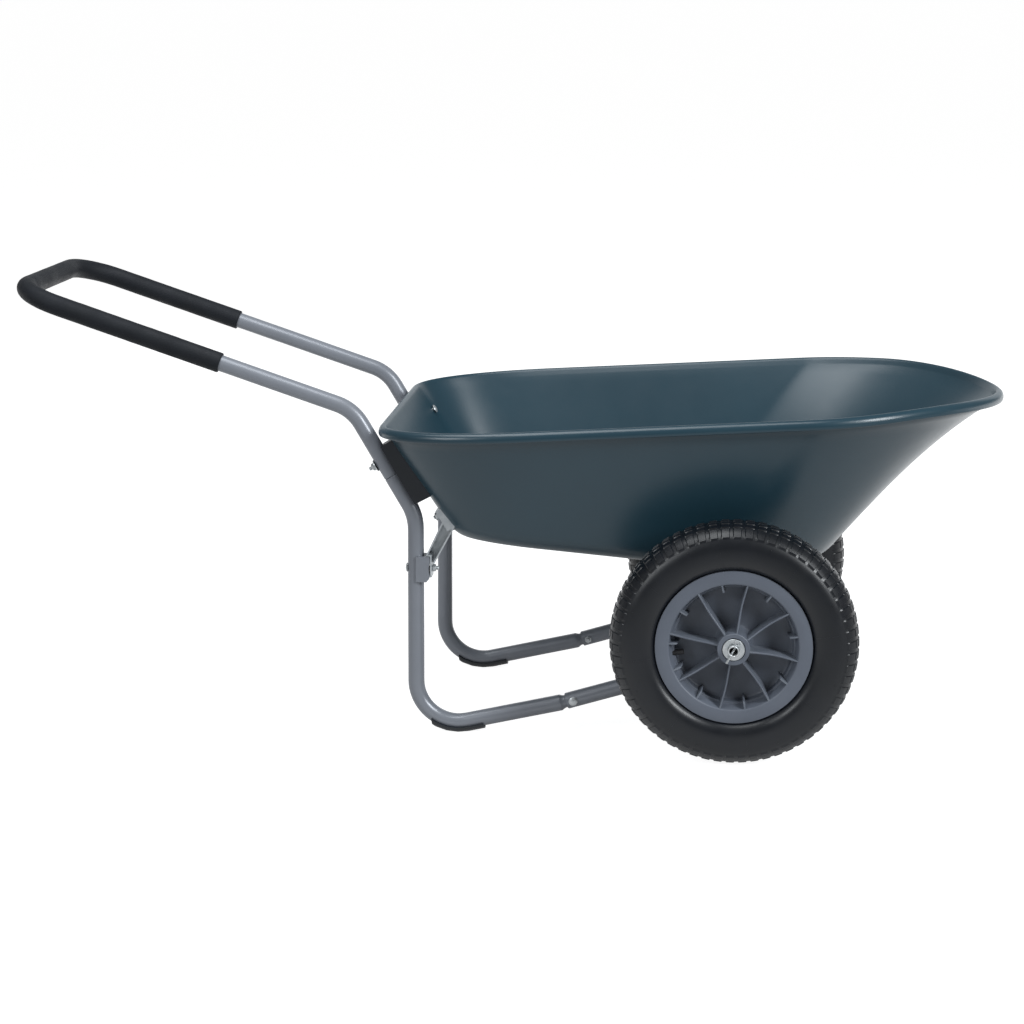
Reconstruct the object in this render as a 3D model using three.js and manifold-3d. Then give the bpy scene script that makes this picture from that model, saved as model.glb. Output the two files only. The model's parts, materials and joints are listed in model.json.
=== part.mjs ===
// A two-wheeled garden wheelbarrow: a moulded tub on a frame of bent round tube, a padded
// push handle and two air-filled wheels that turn freely on one fixed axle.
// Millimetres. +X points forward to the nose, +Y to the user's left, +Z up. The ground is z = 0
// and the origin is under the middle of the whole barrow.
import * as THREE from "three";
import { mergeVertices } from "three/addons/utils/BufferGeometryUtils.js";
import Module from "manifold-3d";

const wasm = await Module();
wasm.setup();

// ---------------------------------------------------------------- driving dimensions

// Clearance left between pieces that touch.
const fit = 0.3;

// Wheels and axle.
const tyreRadius = 177.5;
const tyreHalfWidth = 42;
const wheelSide = 273; // middle of a wheel, measured from the middle plane
const axleX = 340;
const axleRadius = 8;
const axleBore = 6;
const axleHalf = 327;
const flangeRadius = 111;
const flangeInner = 92.8;
const flangeFace = 33.8;
const hubRadius = 23;
const hubFace = 43.5;
const bushPocket = 41;

// Frame tubes. A route is a list of [x, z] corners in the side plane y = tubeSide.
const tubeSide = 174;
const tubeRadius = 12;
const tubeBore = 10.5;
const spigotRadius = 9.4;
const spigotBore = 7.9;
const handleEndX = -715.2;
const handleBend = [-220, 482.5];
const handleSlope = -0.332;
const legBend = [-128, 327];
const footCorner = [-128, -1.5];
const lowerJoint = [95, 51.5];
const riseBend = [235, 95];
const crossZ = 236;
const loopRadius = 65;
const handleBendRadius = 65;
const legBendRadius = 75;
const footRadius = 62;
const riseRadius = 70;
const crossRadius = 60;
const seamAt = 112; // distances down the sloping tube from the handle bend
const upperBoltAt = 88;
const blockFrom = 66;
const blockTo = 164;
const blockReach = 40; // past the wall of the tub, which trims the block

// Foam grip: how far each end lies from the middle plane of the loop, along x.
const gripRadius = 15.5;
const gripEndLeft = -459;
const gripEndRight = -414;

// Tub. An outline runs from the middle of the rear edge round the left side to the nose.
const wall = 4;
const lipHeight = 13;
const rimOutline = {
  rearX: -169,
  cornerX: 40,
  cornerY: 170,
  rearHalf: 287,
  shoulderX: 440,
  frontHalf: 283,
  noseX: 717,
  nosePower: 1.75,
};
const floorOutline = {
  rearX: -68,
  cornerX: 50,
  cornerY: 158,
  rearHalf: 204,
  shoulderX: 270,
  frontHalf: 196,
  noseX: 470,
  nosePower: 1.9,
};
const rimLevel = (x) => 461 + 0.064 * x - 0.0006 * Math.max(0, x - 560) ** 2;
const cornerPower = 2.2;
const floorSlope = 0.09; // down towards the nose
const floorLevel = (x) => 288 - floorSlope * x;
const floorFillet = 30;
const noseFlare = 0.16;

// Fasteners: shank radius and the sizes that go with it.
const boltRadius = 3;
const headRadius = 7;
const headHeight = 3.2;
const headLift = 5; // of a brace bolt's head off the curved inside of the tub
const nutAcross = 10;
const nutHeight = 5;

// Leg bracket and brace, in the side plane.
const bracketZ = 249;
const bracketHalfHeight = 19;
const bracketFace = -106;
const braceBolt = [-91.6, 330.5];
const frontBoltSide = 60;

const finish = {
  tub: { color: 0x2f4d52, roughness: 0.42, metalness: 0 },
  paint: { color: 0x7d848b, roughness: 0.38, metalness: 0.35 },
  zinc: { color: 0xc9ccce, roughness: 0.35, metalness: 0.9 },
  rubber: { color: 0x2a2b2e, roughness: 0.75, metalness: 0 },
  foam: { color: 0x1f2327, roughness: 0.85, metalness: 0 },
  blackPlastic: { color: 0x15171a, roughness: 0.6, metalness: 0 },
  rim: { color: 0x4b5160, roughness: 0.55, metalness: 0 },
  bush: { color: 0x24262a, roughness: 0.5, metalness: 0 },
};

// ---------------------------------------------------------------- helpers

function solidOf(geometry) {
  const bare = geometry.clone();
  bare.deleteAttribute("normal");
  bare.deleteAttribute("uv");
  const merged = mergeVertices(bare, 1e-3);
  return new wasm.Manifold(
    new wasm.Mesh({
      numProp: 3,
      vertProperties: merged.attributes.position.array,
      triVerts: new Uint32Array(merged.index.array),
    }),
  );
}

function geometryOf(solid) {
  const mesh = solid.getMesh();
  const geometry = new THREE.BufferGeometry();
  geometry.setAttribute("position", new THREE.BufferAttribute(mesh.vertProperties, 3));
  geometry.setIndex(new THREE.BufferAttribute(mesh.triVerts, 1));
  geometry.computeVertexNormals();
  return geometry;
}

// Joins the first list of geometries and cuts the second list out of the result.
function combine(parts, cuts = []) {
  let solid = solidOf(parts[0]);
  for (const part of parts.slice(1)) solid = solid.add(solidOf(part));
  for (const cut of cuts) solid = solid.subtract(solidOf(cut));
  return geometryOf(solid);
}

function piece(name, geometry, look) {
  const mesh = new THREE.Mesh(geometry, new THREE.MeshStandardMaterial(finish[look]));
  mesh.name = name;
  return mesh;
}

// A turned piece about the line from `from` along `along`; its profile is [radius, distance].
function turned(profile, from, along, segments = 16) {
  const points = profile.map(([r, y]) => new THREE.Vector2(r, y));
  const geometry = new THREE.LatheGeometry(points, segments);
  const turn = new THREE.Quaternion().setFromUnitVectors(
    new THREE.Vector3(0, 1, 0),
    along.clone().normalize(),
  );
  return geometry.applyQuaternion(turn).translate(from.x, from.y, from.z);
}

const rod = (radius, length, from, along, segments = 16) =>
  turned([[0, 0], [radius, 0], [radius, length], [0, length]], from, along, segments);

const ring = (outer, inner, length, from, along, segments = 16) =>
  turned(
    [[inner, 0], [outer, 0], [outer, length], [inner, length], [inner, 0]],
    from,
    along,
    segments,
  );

// An outline in the side plane, [x, z] points, made `width` thick about y = middle.
function plate(outline, width, middle) {
  const shape = new THREE.Shape(outline.map(([x, z]) => new THREE.Vector2(x, z)));
  const geometry = new THREE.ExtrudeGeometry(shape, { depth: width, bevelEnabled: false });
  return geometry.rotateX(Math.PI / 2).translate(0, middle + width / 2, 0);
}

const at = (x, y, z) => new THREE.Vector3(x, y, z);
const inSide = ([x, z]) => at(x, tubeSide, z);

// Straight runs joined by round bends. Its stations are one per straight run and one per
// 20 degrees or so of bend, so a swept section is no finer than the shape needs.
class BentRoute extends THREE.Curve {
  constructor(corners, radii, bendStep = 22) {
    super();
    this.steps = [];
    let from = corners[0];
    for (let i = 1; i < corners.length - 1; i++) {
      const into = corners[i].clone().sub(corners[i - 1]).normalize();
      const out = corners[i + 1].clone().sub(corners[i]).normalize();
      const turn = into.angleTo(out);
      const reach = radii[i - 1] * Math.tan(turn / 2);
      const start = corners[i].clone().addScaledVector(into, -reach);
      const inward = out.clone().addScaledVector(into, -out.dot(into)).normalize();
      const centre = start.clone().addScaledVector(inward, radii[i - 1]);
      this.steps.push({ from, to: start });
      const pieces = Math.max(2, Math.round(THREE.MathUtils.radToDeg(turn) / bendStep));
      for (let k = 0; k < pieces; k++) {
        this.steps.push({ centre, into, inward, radius: radii[i - 1], turn: turn / pieces, k });
      }
      from = corners[i].clone().addScaledVector(out, reach);
    }
    this.steps.push({ from, to: corners.at(-1) });
  }

  getPoint(t, target = new THREE.Vector3()) {
    const place = THREE.MathUtils.clamp(t, 0, 1) * this.steps.length;
    const index = Math.min(Math.floor(place), this.steps.length - 1);
    const step = this.steps[index];
    if (step.from) return target.copy(step.from).lerp(step.to, place - index);
    const angle = (step.k + place - index) * step.turn;
    return target
      .copy(step.centre)
      .addScaledVector(step.inward, -step.radius * Math.cos(angle))
      .addScaledVector(step.into, step.radius * Math.sin(angle));
  }

  getUtoTmapping(u) {
    return u;
  }
}

function circle(radius, hole) {
  const shape = new THREE.Shape().absarc(0, 0, radius, 0, Math.PI * 2);
  if (hole) shape.holes.push(new THREE.Path().absarc(0, 0, hole, 0, Math.PI * 2));
  return shape;
}

function sweep(route, shape, curveSegments = 4) {
  return new THREE.ExtrudeGeometry(shape, {
    extrudePath: route,
    steps: route.steps.length,
    curveSegments,
    bevelEnabled: false,
  });
}

// ---------------------------------------------------------------- places in the frame

const slopeAlong = inSide(legBend).sub(inSide(handleBend)).normalize();
const slopeOut = at(-slopeAlong.z, 0, slopeAlong.x);
const onSlope = (distance, out = 0) =>
  inSide(handleBend).addScaledVector(slopeAlong, distance).addScaledVector(slopeOut, out);

const handleEnd = [handleEndX, handleBend[1] + handleSlope * (handleEndX - handleBend[0])];
const onHandle = (x) => [x, handleBend[1] + handleSlope * (x - handleBend[0])];
const riseAlong = at(axleX - riseBend[0], 0, tyreRadius - riseBend[1]).normalize();
const crossX = axleX + ((crossZ - tyreRadius) * riseAlong.x) / riseAlong.z;
const jointAlong = inSide(riseBend).sub(inSide(lowerJoint)).normalize();
const lowerAlong = inSide(lowerJoint).sub(inSide(footCorner)).normalize();
const jointBoltAt = inSide(lowerJoint).addScaledVector(jointAlong, 12);
const jointNeck = 8;

const mirrored = (point) => at(point.x, -point.y, point.z);
const forward = at(1, 0, 0);
const upward = at(0, 0, 1);
const leftward = at(0, 1, 0);

// ---------------------------------------------------------------- tub

const power = (base, exponent) => (base < 1e-9 ? 0 : base ** exponent);

// Half an outline, from the middle of the rear edge to the nose tip, y >= 0.
function halfOutline(o) {
  const points = [[o.rearX, 0], [o.rearX, o.cornerY * 0.6]];
  const cornerSteps = 5;
  for (let i = 0; i <= cornerSteps; i++) {
    const a = (i / cornerSteps) * (Math.PI / 2);
    points.push([
      o.cornerX - (o.cornerX - o.rearX) * power(Math.cos(a), 2 / cornerPower),
      o.cornerY + (o.rearHalf - o.cornerY) * power(Math.sin(a), 2 / cornerPower),
    ]);
  }
  const sideSteps = 3;
  for (let i = 1; i < sideSteps; i++) {
    const t = i / sideSteps;
    points.push([
      THREE.MathUtils.lerp(o.cornerX, o.shoulderX, t),
      THREE.MathUtils.lerp(o.rearHalf, o.frontHalf, t),
    ]);
  }
  const noseSteps = 9;
  for (let i = 0; i <= noseSteps; i++) {
    const a = (i / noseSteps) * (Math.PI / 2);
    points.push([
      o.shoulderX + (o.noseX - o.shoulderX) * power(Math.sin(a), 2 / o.nosePower),
      o.frontHalf * power(Math.cos(a), 2 / o.nosePower),
    ]);
  }
  return points;
}

function wholeOutline(o) {
  const left = halfOutline(o);
  const right = left.slice(1, -1).reverse().map(([x, y]) => [x, -y]);
  return [...left, ...right];
}

// The outer surface as rings of points, from a flat floor ring up to the underside of the lip.
function outerRings() {
  const floor = wholeOutline(floorOutline).map(([x, y]) => at(x, y, floorLevel(x)));
  const rim = wholeOutline(rimOutline).map(([x, y]) => at(x, y, rimLevel(x)));
  const spine = (p) => at(THREE.MathUtils.clamp(p.x, 60, 300), 0, 0);
  const onWall = (i, h) => {
    const flare = noseFlare * THREE.MathUtils.smoothstep(rim[i].x, 150, 700);
    const spread = (1 - flare) * h + flare * h ** 4;
    const point = floor[i].clone().lerp(rim[i], spread);
    point.z = THREE.MathUtils.lerp(floor[i].z, rim[i].z, h);
    return point;
  };
  const filletEnd = (i) => floorFillet / floor[i].distanceTo(rim[i]);
  const fillet = (i, t) => {
    const inward = spine(floor[i]).sub(floor[i]).setZ(0).normalize();
    const start = floor[i].clone().addScaledVector(inward, floorFillet);
    start.z = floorLevel(start.x);
    return start
      .multiplyScalar((1 - t) ** 2)
      .addScaledVector(floor[i], 2 * t * (1 - t))
      .addScaledVector(onWall(i, filletEnd(i)), t * t);
  };
  const rings = [0, 0.33, 0.67, 1].map((t) => floor.map((_, i) => fillet(i, t)));
  for (const h of [0.5, 0.75, 0.9, 1]) {
    rings.push(rim.map((_, i) => onWall(i, h)));
  }
  return rings;
}

// Moves every point of a ring grid by `distance` along the outward normal.
function grown(rings, distance) {
  const count = rings[0].length;
  return rings.map((points, k) =>
    points.map((point, i) => {
      const below = rings[Math.max(k - 1, 0)][i];
      const above = rings[Math.min(k + 1, rings.length - 1)][i];
      const around = points[(i + count - 1) % count].clone().sub(points[(i + 1) % count]);
      const normal = around.cross(above.clone().sub(below)).normalize();
      if (k === 0) normal.set(-floorSlope, 0, -1).normalize();
      return point.clone().addScaledVector(normal, distance);
    }),
  );
}

// A closed solid from a list of equal rings, with a flat cap at each end.
function loft(rings) {
  const count = rings[0].length;
  const positions = rings.flat().flatMap((p) => [p.x, p.y, p.z]);
  const index = [];
  for (let k = 0; k + 1 < rings.length; k++) {
    for (let i = 0; i < count; i++) {
      const a = k * count + i;
      const b = k * count + ((i + 1) % count);
      index.push(a, a + count, b, b, a + count, b + count);
    }
  }
  const cap = (k, flip) => {
    const centre = rings[k].reduce((sum, p) => sum.add(p), at(0, 0, 0)).divideScalar(count);
    const middle = positions.length / 3;
    positions.push(centre.x, centre.y, centre.z);
    for (let i = 0; i < count; i++) {
      const a = k * count + i;
      const b = k * count + ((i + 1) % count);
      if (flip) index.push(middle, b, a);
      else index.push(middle, a, b);
    }
  };
  cap(0, false);
  cap(rings.length - 1, true);
  const geometry = new THREE.BufferGeometry();
  geometry.setAttribute("position", new THREE.Float32BufferAttribute(positions, 3));
  geometry.setIndex(index);
  return geometry;
}

// The lip section: [outward, up] from the top of the outer wall.
const lipSection = [[10.5, -1], [13, 3], [11, 10], [4, lipHeight], [-3, 10.5]];

function lipRings(top) {
  const count = top.length;
  return lipSection.map(([out, up]) =>
    top.map((point, i) => {
      const along = top[(i + 1) % count].clone().sub(top[(i + count - 1) % count]).setZ(0);
      const outward = at(-along.y, along.x, 0).normalize();
      return point.clone().addScaledVector(outward, out).add(at(0, 0, up));
    }),
  );
}

const tubOuter = outerRings();
const tubEnvelope = loft(grown(tubOuter, fit));

function tubBoltHoles() {
  const holes = [];
  for (const flip of [(p) => p, mirrored]) {
    holes.push(rod(boltRadius + fit, 60, flip(onSlope(upperBoltAt, 5)), slopeOut));
    holes.push(rod(boltRadius + fit, 30, flip(braceBoltStart()), flip(wallOut()).negate()));
    holes.push(rod(boltRadius + fit, 40, flip(at(crossX, frontBoltSide, crossZ)), upward));
  }
  return holes;
}

function tub() {
  const inner = grown(tubOuter, -wall).reverse();
  const shell = loft([...tubOuter, ...lipRings(tubOuter.at(-1)), ...inner]);
  return piece("tub", combine([shell], tubBoltHoles()), "tub");
}

// ---------------------------------------------------------------- frame tubes

function handleTube() {
  const side = [onSlope(seamAt), inSide(handleBend), inSide(handleEnd)];
  const corners = [...side, ...side.map(mirrored).reverse()];
  const radii = [handleBendRadius, loopRadius, loopRadius, handleBendRadius];
  const tube = sweep(new BentRoute(corners, radii), circle(tubeRadius, tubeBore));
  const holes = [onSlope(upperBoltAt, -20), mirrored(onSlope(upperBoltAt, -20))].map((from) =>
    rod(boltRadius + fit, 40, from, slopeOut, 8),
  );
  return piece("handle_tube", combine([tube], holes), "paint");
}

function foamGrip() {
  const start = inSide(onHandle(gripEndLeft));
  const end = mirrored(inSide(onHandle(gripEndRight)));
  const corners = [start, inSide(handleEnd), mirrored(inSide(handleEnd)), end];
  const route = new BentRoute(corners, [loopRadius, loopRadius]);
  return piece("foam_grip", sweep(route, circle(gripRadius, tubeRadius + fit)), "foam");
}

// The leg goes from the handle seam down to the foot and forward to the lower joint. Both of
// its ends are drawn down to a spigot that slides inside the next tube.
function legTube(side) {
  const end = inSide(lowerJoint).addScaledVector(lowerAlong, -jointNeck);
  const neck = inSide(lowerJoint).addScaledVector(jointAlong, -jointNeck);
  const start = onSlope(seamAt + fit);
  const corners = [start, inSide(legBend), inSide(footCorner), end];
  const main = sweep(
    new BentRoute(corners, [legBendRadius, footRadius]),
    circle(tubeRadius, tubeBore),
  );
  const upper = turned(
    [[spigotBore, -4], [11.2, -4], [11.2, 0.2], [spigotRadius, 0.2], [spigotRadius, 50],
      [spigotBore, 50], [spigotBore, -4]],
    start,
    slopeAlong.clone().negate(),
    10,
  );
  const lower = turned(
    [[spigotBore, -4], [11.2, -4], [tubeRadius, 0], [spigotRadius, 6], [spigotRadius, 52],
      [spigotBore, 52], [spigotBore, -4]],
    neck,
    jointAlong,
    10,
  );
  const bracketHole = at(footCorner[0] - 20, tubeSide, bracketZ);
  const holes = [
    rod(boltRadius + fit, 40, onSlope(upperBoltAt, -20), slopeOut, 8),
    rod(boltRadius + fit, 40, bracketHole, forward, 8),
    rod(boltRadius + fit, 40, jointBoltAt.clone().setY(tubeSide - 20), leftward, 8),
  ];
  return piece("leg_tube_" + side, combine([main, upper, lower], holes), "paint");
}

// One U-shaped tube joins both legs, carries the axle and crosses under the front of the tub.
function frontFrame() {
  const start = inSide(lowerJoint).addScaledVector(jointAlong, 1.2);
  const top = at(crossX, tubeSide, crossZ);
  const side = [start, inSide(riseBend), top];
  const corners = [...side, ...side.map(mirrored).reverse()];
  const radii = [riseRadius, crossRadius, crossRadius, riseRadius];
  const tube = sweep(new BentRoute(corners, radii), circle(tubeRadius, tubeBore));
  const holes = [rod(axleRadius + fit, 420, at(axleX, -210, tyreRadius), leftward, 20)];
  for (const flip of [(p) => p, mirrored]) {
    const across = flip(jointBoltAt.clone()).add(at(0, -20, 0));
    holes.push(rod(boltRadius + fit, 40, across, leftward, 8));
    holes.push(
      rod(boltRadius + fit, 40, flip(at(crossX, frontBoltSide, crossZ - 20)), upward, 8),
    );
  }
  return piece("front_frame", combine([tube], holes), "paint");
}

// A thin curved shoe under the bend of each foot, with a small worn flat on the ground.
function footPad(side) {
  const reach = footRadius * Math.tan(lowerAlong.angleTo(at(0, 0, -1)) / 2);
  const before = inSide(footCorner).add(at(0, 0, reach + 1));
  const after = inSide(footCorner).addScaledVector(lowerAlong, reach + 24);
  const shape = new THREE.Shape();
  const half = THREE.MathUtils.degToRad(66);
  shape.absarc(0, 0, tubeRadius + 4, Math.PI / 2 - half, Math.PI / 2 + half, false);
  shape.absarc(0, 0, tubeRadius + 3 * fit, Math.PI / 2 + half, Math.PI / 2 - half, true);
  const route = new BentRoute([before, inSide(footCorner), after], [footRadius], 13);
  const pad = sweep(route, shape, 4);
  const size = 400;
  const ground = new THREE.BoxGeometry(size, size, size).translate(0, tubeSide, -size / 2);
  const behind = new THREE.BoxGeometry(size, size, size)
    .translate(-size / 2, tubeSide, 0)
    .translate(footCorner[0] + 24, 0, 0);
  return piece("foot_pad_" + side, combine([pad], [ground, behind]), "blackPlastic");
}

// ---------------------------------------------------------------- tub supports

// Outward normal of the rear wall of the tub, in the side plane.
function wallOut() {
  const run = rimOutline.rearX - floorOutline.rearX;
  const rise = rimLevel(rimOutline.rearX) - floorLevel(floorOutline.rearX);
  return at(-rise, 0, run).normalize();
}

function spacerBlock(side) {
  const outline = [
    onSlope(blockFrom, tubeRadius - 1.5),
    onSlope(blockTo, tubeRadius - 1.5),
    onSlope(blockTo + 1, blockReach),
    onSlope(blockFrom - 1, blockReach),
  ].map((p) => [p.x, p.z]);
  const block = plate(outline, 32, tubeSide);
  const tubeRoom = rod(tubeRadius + fit, 140, onSlope(50), slopeAlong, 24);
  const boltRoom = rod(boltRadius + fit, 60, onSlope(upperBoltAt), slopeOut, 8);
  return piece(
    "spacer_block_" + side,
    combine([block], [tubeRoom, boltRoom, tubEnvelope]),
    "blackPlastic",
  );
}

// A pressed saddle that hugs the front half of the leg tube.
function legBracket(side) {
  const low = bracketZ - bracketHalfHeight;
  const high = bracketZ + bracketHalfHeight;
  const back = footCorner[0] + 1.5;
  const outline = [
    [back, low],
    [bracketFace - 5, low],
    [bracketFace - 1, low + 5],
    [bracketFace, low + 9],
    [bracketFace - 1.6, low + 16],
    [bracketFace - 1.6, high - 15],
    [bracketFace, high - 9],
    [bracketFace - 0.6, high],
    [back, high],
  ];
  const saddle = plate(outline, 2 * tubeRadius + 5, tubeSide);
  const tubeRoom = rod(tubeRadius + fit, 80, at(footCorner[0], tubeSide, low - 20), upward, 24);
  const boltRoom = rod(boltRadius + fit, 60, at(back, tubeSide, bracketZ), forward, 8);
  return piece("leg_bracket_" + side, combine([saddle], [tubeRoom, boltRoom]), "paint");
}

// Where the brace bolt goes through the wall of the tub, and the line along the wall there.
const wallAlong = at(wallOut().z, 0, -wallOut().x);
function offWall(along, out) {
  const point = inSide(braceBolt).addScaledVector(wallAlong, along);
  point.addScaledVector(wallOut(), out);
  return [point.x, point.z];
}

// An open channel between the leg bracket and the lower rear wall of the tub. Its web is on
// the inner side and its two flanges point outwards. The rear flange goes over the bracket and
// down its face at the foot, and a flat tab at the top lies on the wall.
function brace(side) {
  const gauge = 2.2;
  const width = 24;
  const tabX = bracketFace + fit;
  const seatZ = bracketZ + bracketHalfHeight + 2 * fit;
  const rearFoot = [-112.3, seatZ];
  const frontFoot = [-99.4, 257.6];
  const rearTop = [-82.5, 332];
  const frontTop = [-66, 320];
  const web = [
    rearFoot,
    [tabX, seatZ],
    [tabX, 252],
    [tabX + gauge, 252],
    frontFoot,
    frontTop,
    rearTop,
  ];
  const rearFlange = [rearFoot, [rearFoot[0] + 2.3, seatZ], [-80.2, 331], rearTop];
  const frontFlange = [frontFoot, frontTop, [-68, 321], [-101.4, 258.6]];
  const seat = [
    rearFoot,
    [tabX + gauge, seatZ],
    [tabX + gauge, seatZ + gauge],
    [rearFoot[0] + 1.2, seatZ + gauge],
  ];
  const lowerTab = [
    [tabX, 237],
    [tabX + gauge, 237],
    [tabX + gauge, seatZ + gauge],
    [tabX, seatZ + gauge],
  ];
  const upperTab = [
    offWall(-26, -12),
    offWall(-26, gauge + fit),
    offWall(8, gauge + fit),
    offWall(8, -12),
  ];
  const plates = [
    plate(upperTab, width, tubeSide),
    plate(lowerTab, width, tubeSide),
    plate(seat, width, tubeSide),
    plate(rearFlange, width, tubeSide),
    plate(frontFlange, width, tubeSide),
    plate(web, gauge, tubeSide - width / 2 + gauge / 2),
  ];
  const cuts = [
    tubEnvelope,
    rod(boltRadius + fit, 30, at(tabX - 10, tubeSide, bracketZ), forward, 8),
    rod(boltRadius + fit, 40, braceBoltStart(), wallOut().negate(), 10),
  ];
  return piece("brace_" + side, combine(plates, cuts), "zinc");
}

function braceBoltStart() {
  return inSide(braceBolt).addScaledVector(wallOut(), 15);
}

// ---------------------------------------------------------------- fasteners

// A round-headed bolt: the underside of the head sits at `from`, the shank runs along `along`.
function bolt(name, from, along, length) {
  const profile = [
    [0, -headHeight],
    [headRadius * 0.5, -headHeight * 0.9],
    [headRadius * 0.85, -headHeight * 0.55],
    [headRadius, 0],
    [boltRadius, 0],
    [boltRadius, length],
    [0, length],
  ];
  return piece(name, turned(profile, from, along, 8), "zinc");
}

function hexagon(across, hole) {
  const corner = across / Math.sqrt(3);
  const shape = new THREE.Shape();
  for (let i = 0; i < 6; i++) {
    const a = (i * Math.PI) / 3;
    shape[i ? "lineTo" : "moveTo"](corner * Math.cos(a), corner * Math.sin(a));
  }
  shape.closePath();
  if (hole) shape.holes.push(new THREE.Path().absarc(0, 0, hole, 0, Math.PI * 2));
  return shape;
}

function nut(name, from, along) {
  const shape = hexagon(nutAcross, boltRadius + 2 * fit);
  const geometry = new THREE.ExtrudeGeometry(shape, {
    depth: nutHeight,
    bevelEnabled: false,
    curveSegments: 4,
  });
  const turn = new THREE.Quaternion().setFromUnitVectors(at(0, 0, 1), along.clone().normalize());
  geometry.applyQuaternion(turn).translate(from.x, from.y, from.z);
  return piece(name, combine([geometry]), "zinc");
}

// Bolt through the handle, the spigot, the spacer block and the rear wall of the tub.
function upperFastening(side) {
  const inside = distanceToWall(upperBoltAt) + wall + 3.2;
  const back = slopeOut.clone().negate();
  const head = onSlope(upperBoltAt, inside);
  return [
    bolt("tub_bolt_" + side, head, back, inside + tubeRadius + 12),
    piece(
      "tub_washer_" + side,
      ring(9, boltRadius + fit, 1.5, onSlope(upperBoltAt, -tubeRadius - fit), back, 12),
      "zinc",
    ),
    nut("tub_nut_" + side, onSlope(upperBoltAt, -tubeRadius - 2 * fit - 1.5), back),
  ];
}

// Distance of the outer face of the tub wall from the slope line, at a point down the slope.
function distanceToWall(along) {
  const from = onSlope(along);
  const face = at(rimOutline.rearX, tubeSide, rimLevel(rimOutline.rearX));
  return face.sub(from).dot(wallOut()) / slopeOut.dot(wallOut());
}

// Bolt through the leg tube and its bracket, with its head behind the tube.
function bracketFastening(side) {
  const head = at(footCorner[0] - tubeRadius - fit, tubeSide, bracketZ);
  const nutAt = at(bracketFace + 2.2 + 2 * fit, tubeSide, bracketZ);
  return [
    bolt("bracket_bolt_" + side, head, forward, nutAt.x - head.x + nutHeight + 4),
    nut("bracket_nut_" + side, nutAt, forward),
  ];
}

// Bolt through the lower rear wall of the tub into the brace, with its head inside the tub.
function braceFastening(side) {
  const out = wallOut();
  const head = inSide(braceBolt).addScaledVector(out, -wall - headLift);
  const nutAt = inSide(braceBolt).addScaledVector(out, 2.2 + 2 * fit);
  return [
    bolt("brace_bolt_" + side, head, out, wall + headLift + 2.2 + nutHeight + 4),
    nut("brace_nut_" + side, nutAt, out),
  ];
}

// Bolt across the lower joint, where the spigot of the leg sits inside the front frame.
function jointFastening(side) {
  const head = jointBoltAt.clone().setY(tubeSide + tubeRadius + fit);
  const nutAt = jointBoltAt.clone().setY(tubeSide - tubeRadius - fit);
  const inward = leftward.clone().negate();
  return [
    bolt("joint_bolt_" + side, head, inward, 2 * tubeRadius + nutHeight + 5),
    nut("joint_nut_" + side, nutAt, inward),
  ];
}

// Bolt through the floor of the tub and the cross part of the front frame.
function frontFastening(side) {
  const floor = floorLevel(crossX) + wall + 1.4;
  const head = at(crossX, frontBoltSide, floor);
  const down = at(0, 0, -1);
  const nutAt = at(crossX, frontBoltSide, crossZ - tubeRadius - fit);
  return [
    bolt("front_bolt_" + side, head, down, floor - nutAt.z + nutHeight + 4),
    nut("front_nut_" + side, nutAt, down),
  ];
}

// ---------------------------------------------------------------- axle

const onAxle = (y) => at(axleX, y, tyreRadius);
const washerFace = wheelSide + hubFace - 0.5;
const cotterAt = washerFace + 1.5 + 3.5;
const cotterLean = THREE.MathUtils.degToRad(63);
const cotterAlong = at(Math.cos(cotterLean), 0, Math.sin(cotterLean));
const cotterRadius = 1.6;

function axle() {
  const tube = ring(axleRadius, axleBore, 2 * axleHalf, onAxle(-axleHalf), leftward, 16);
  const holes = [cotterHole(cotterAt), cotterHole(-cotterAt)];
  return piece("axle", combine([tube], holes), "zinc");
}

const cotterHole = (y) =>
  rod(cotterRadius + fit, 30, onAxle(y).addScaledVector(cotterAlong, -15), cotterAlong, 10);

// A split pin: an eye above the axle and two legs bent back below it.
function cotterPin(side) {
  const eyeAt = onAxle(cotterAt).addScaledVector(cotterAlong, axleRadius + 4.4);
  const below = onAxle(cotterAt).addScaledVector(cotterAlong, -22);
  const shank = rod(cotterRadius, 32, below, cotterAlong, 8);
  const eye = new THREE.TorusGeometry(3.6, 1.2, 5, 10)
    .rotateX(Math.PI / 2)
    .translate(eyeAt.x, eyeAt.y, eyeAt.z);
  return piece("cotter_pin_" + side, combine([shank, eye]), "zinc");
}

function axleStops(side) {
  const inner = tubeSide + tubeRadius + fit;
  const outer = wheelSide - hubFace + 0.5;
  return [
    piece(
      "axle_spacer_" + side,
      ring(11, axleRadius + fit, outer - inner, onAxle(inner), leftward, 16),
      "zinc",
    ),
    piece(
      "axle_washer_" + side,
      ring(15.6, axleRadius + fit, 1.5, onAxle(washerFace), leftward, 20),
      "zinc",
    ),
    cotterPin(side),
  ];
}

// ---------------------------------------------------------------- wheels

// Profiles are [radius, distance outward from the middle of the wheel].
const mirroredProfile = (half) => [...half, ...half.map(([r, y]) => [r, -y]).reverse()];
const aboutAxle = (profile, segments) =>
  turned([...profile, profile[0]].reverse(), onAxle(wheelSide), leftward, segments);

const wheelSegments = 26;
const beadRadius = 101;
const tubeMiddle = 136; // of the inner tube
const innerTubeRadius = 31;
const webHalf = 2.5;
const barrelInner = 88;
const stemAngle = THREE.MathUtils.degToRad(190);
const stemRadius = 4;
const stemSide = 14; // outward from the middle of the wheel
const stemBase = 107.5;
const bushOuter = 12.5;
const ribCount = 8;
const firstRib = THREE.MathUtils.degToRad(34);

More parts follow.
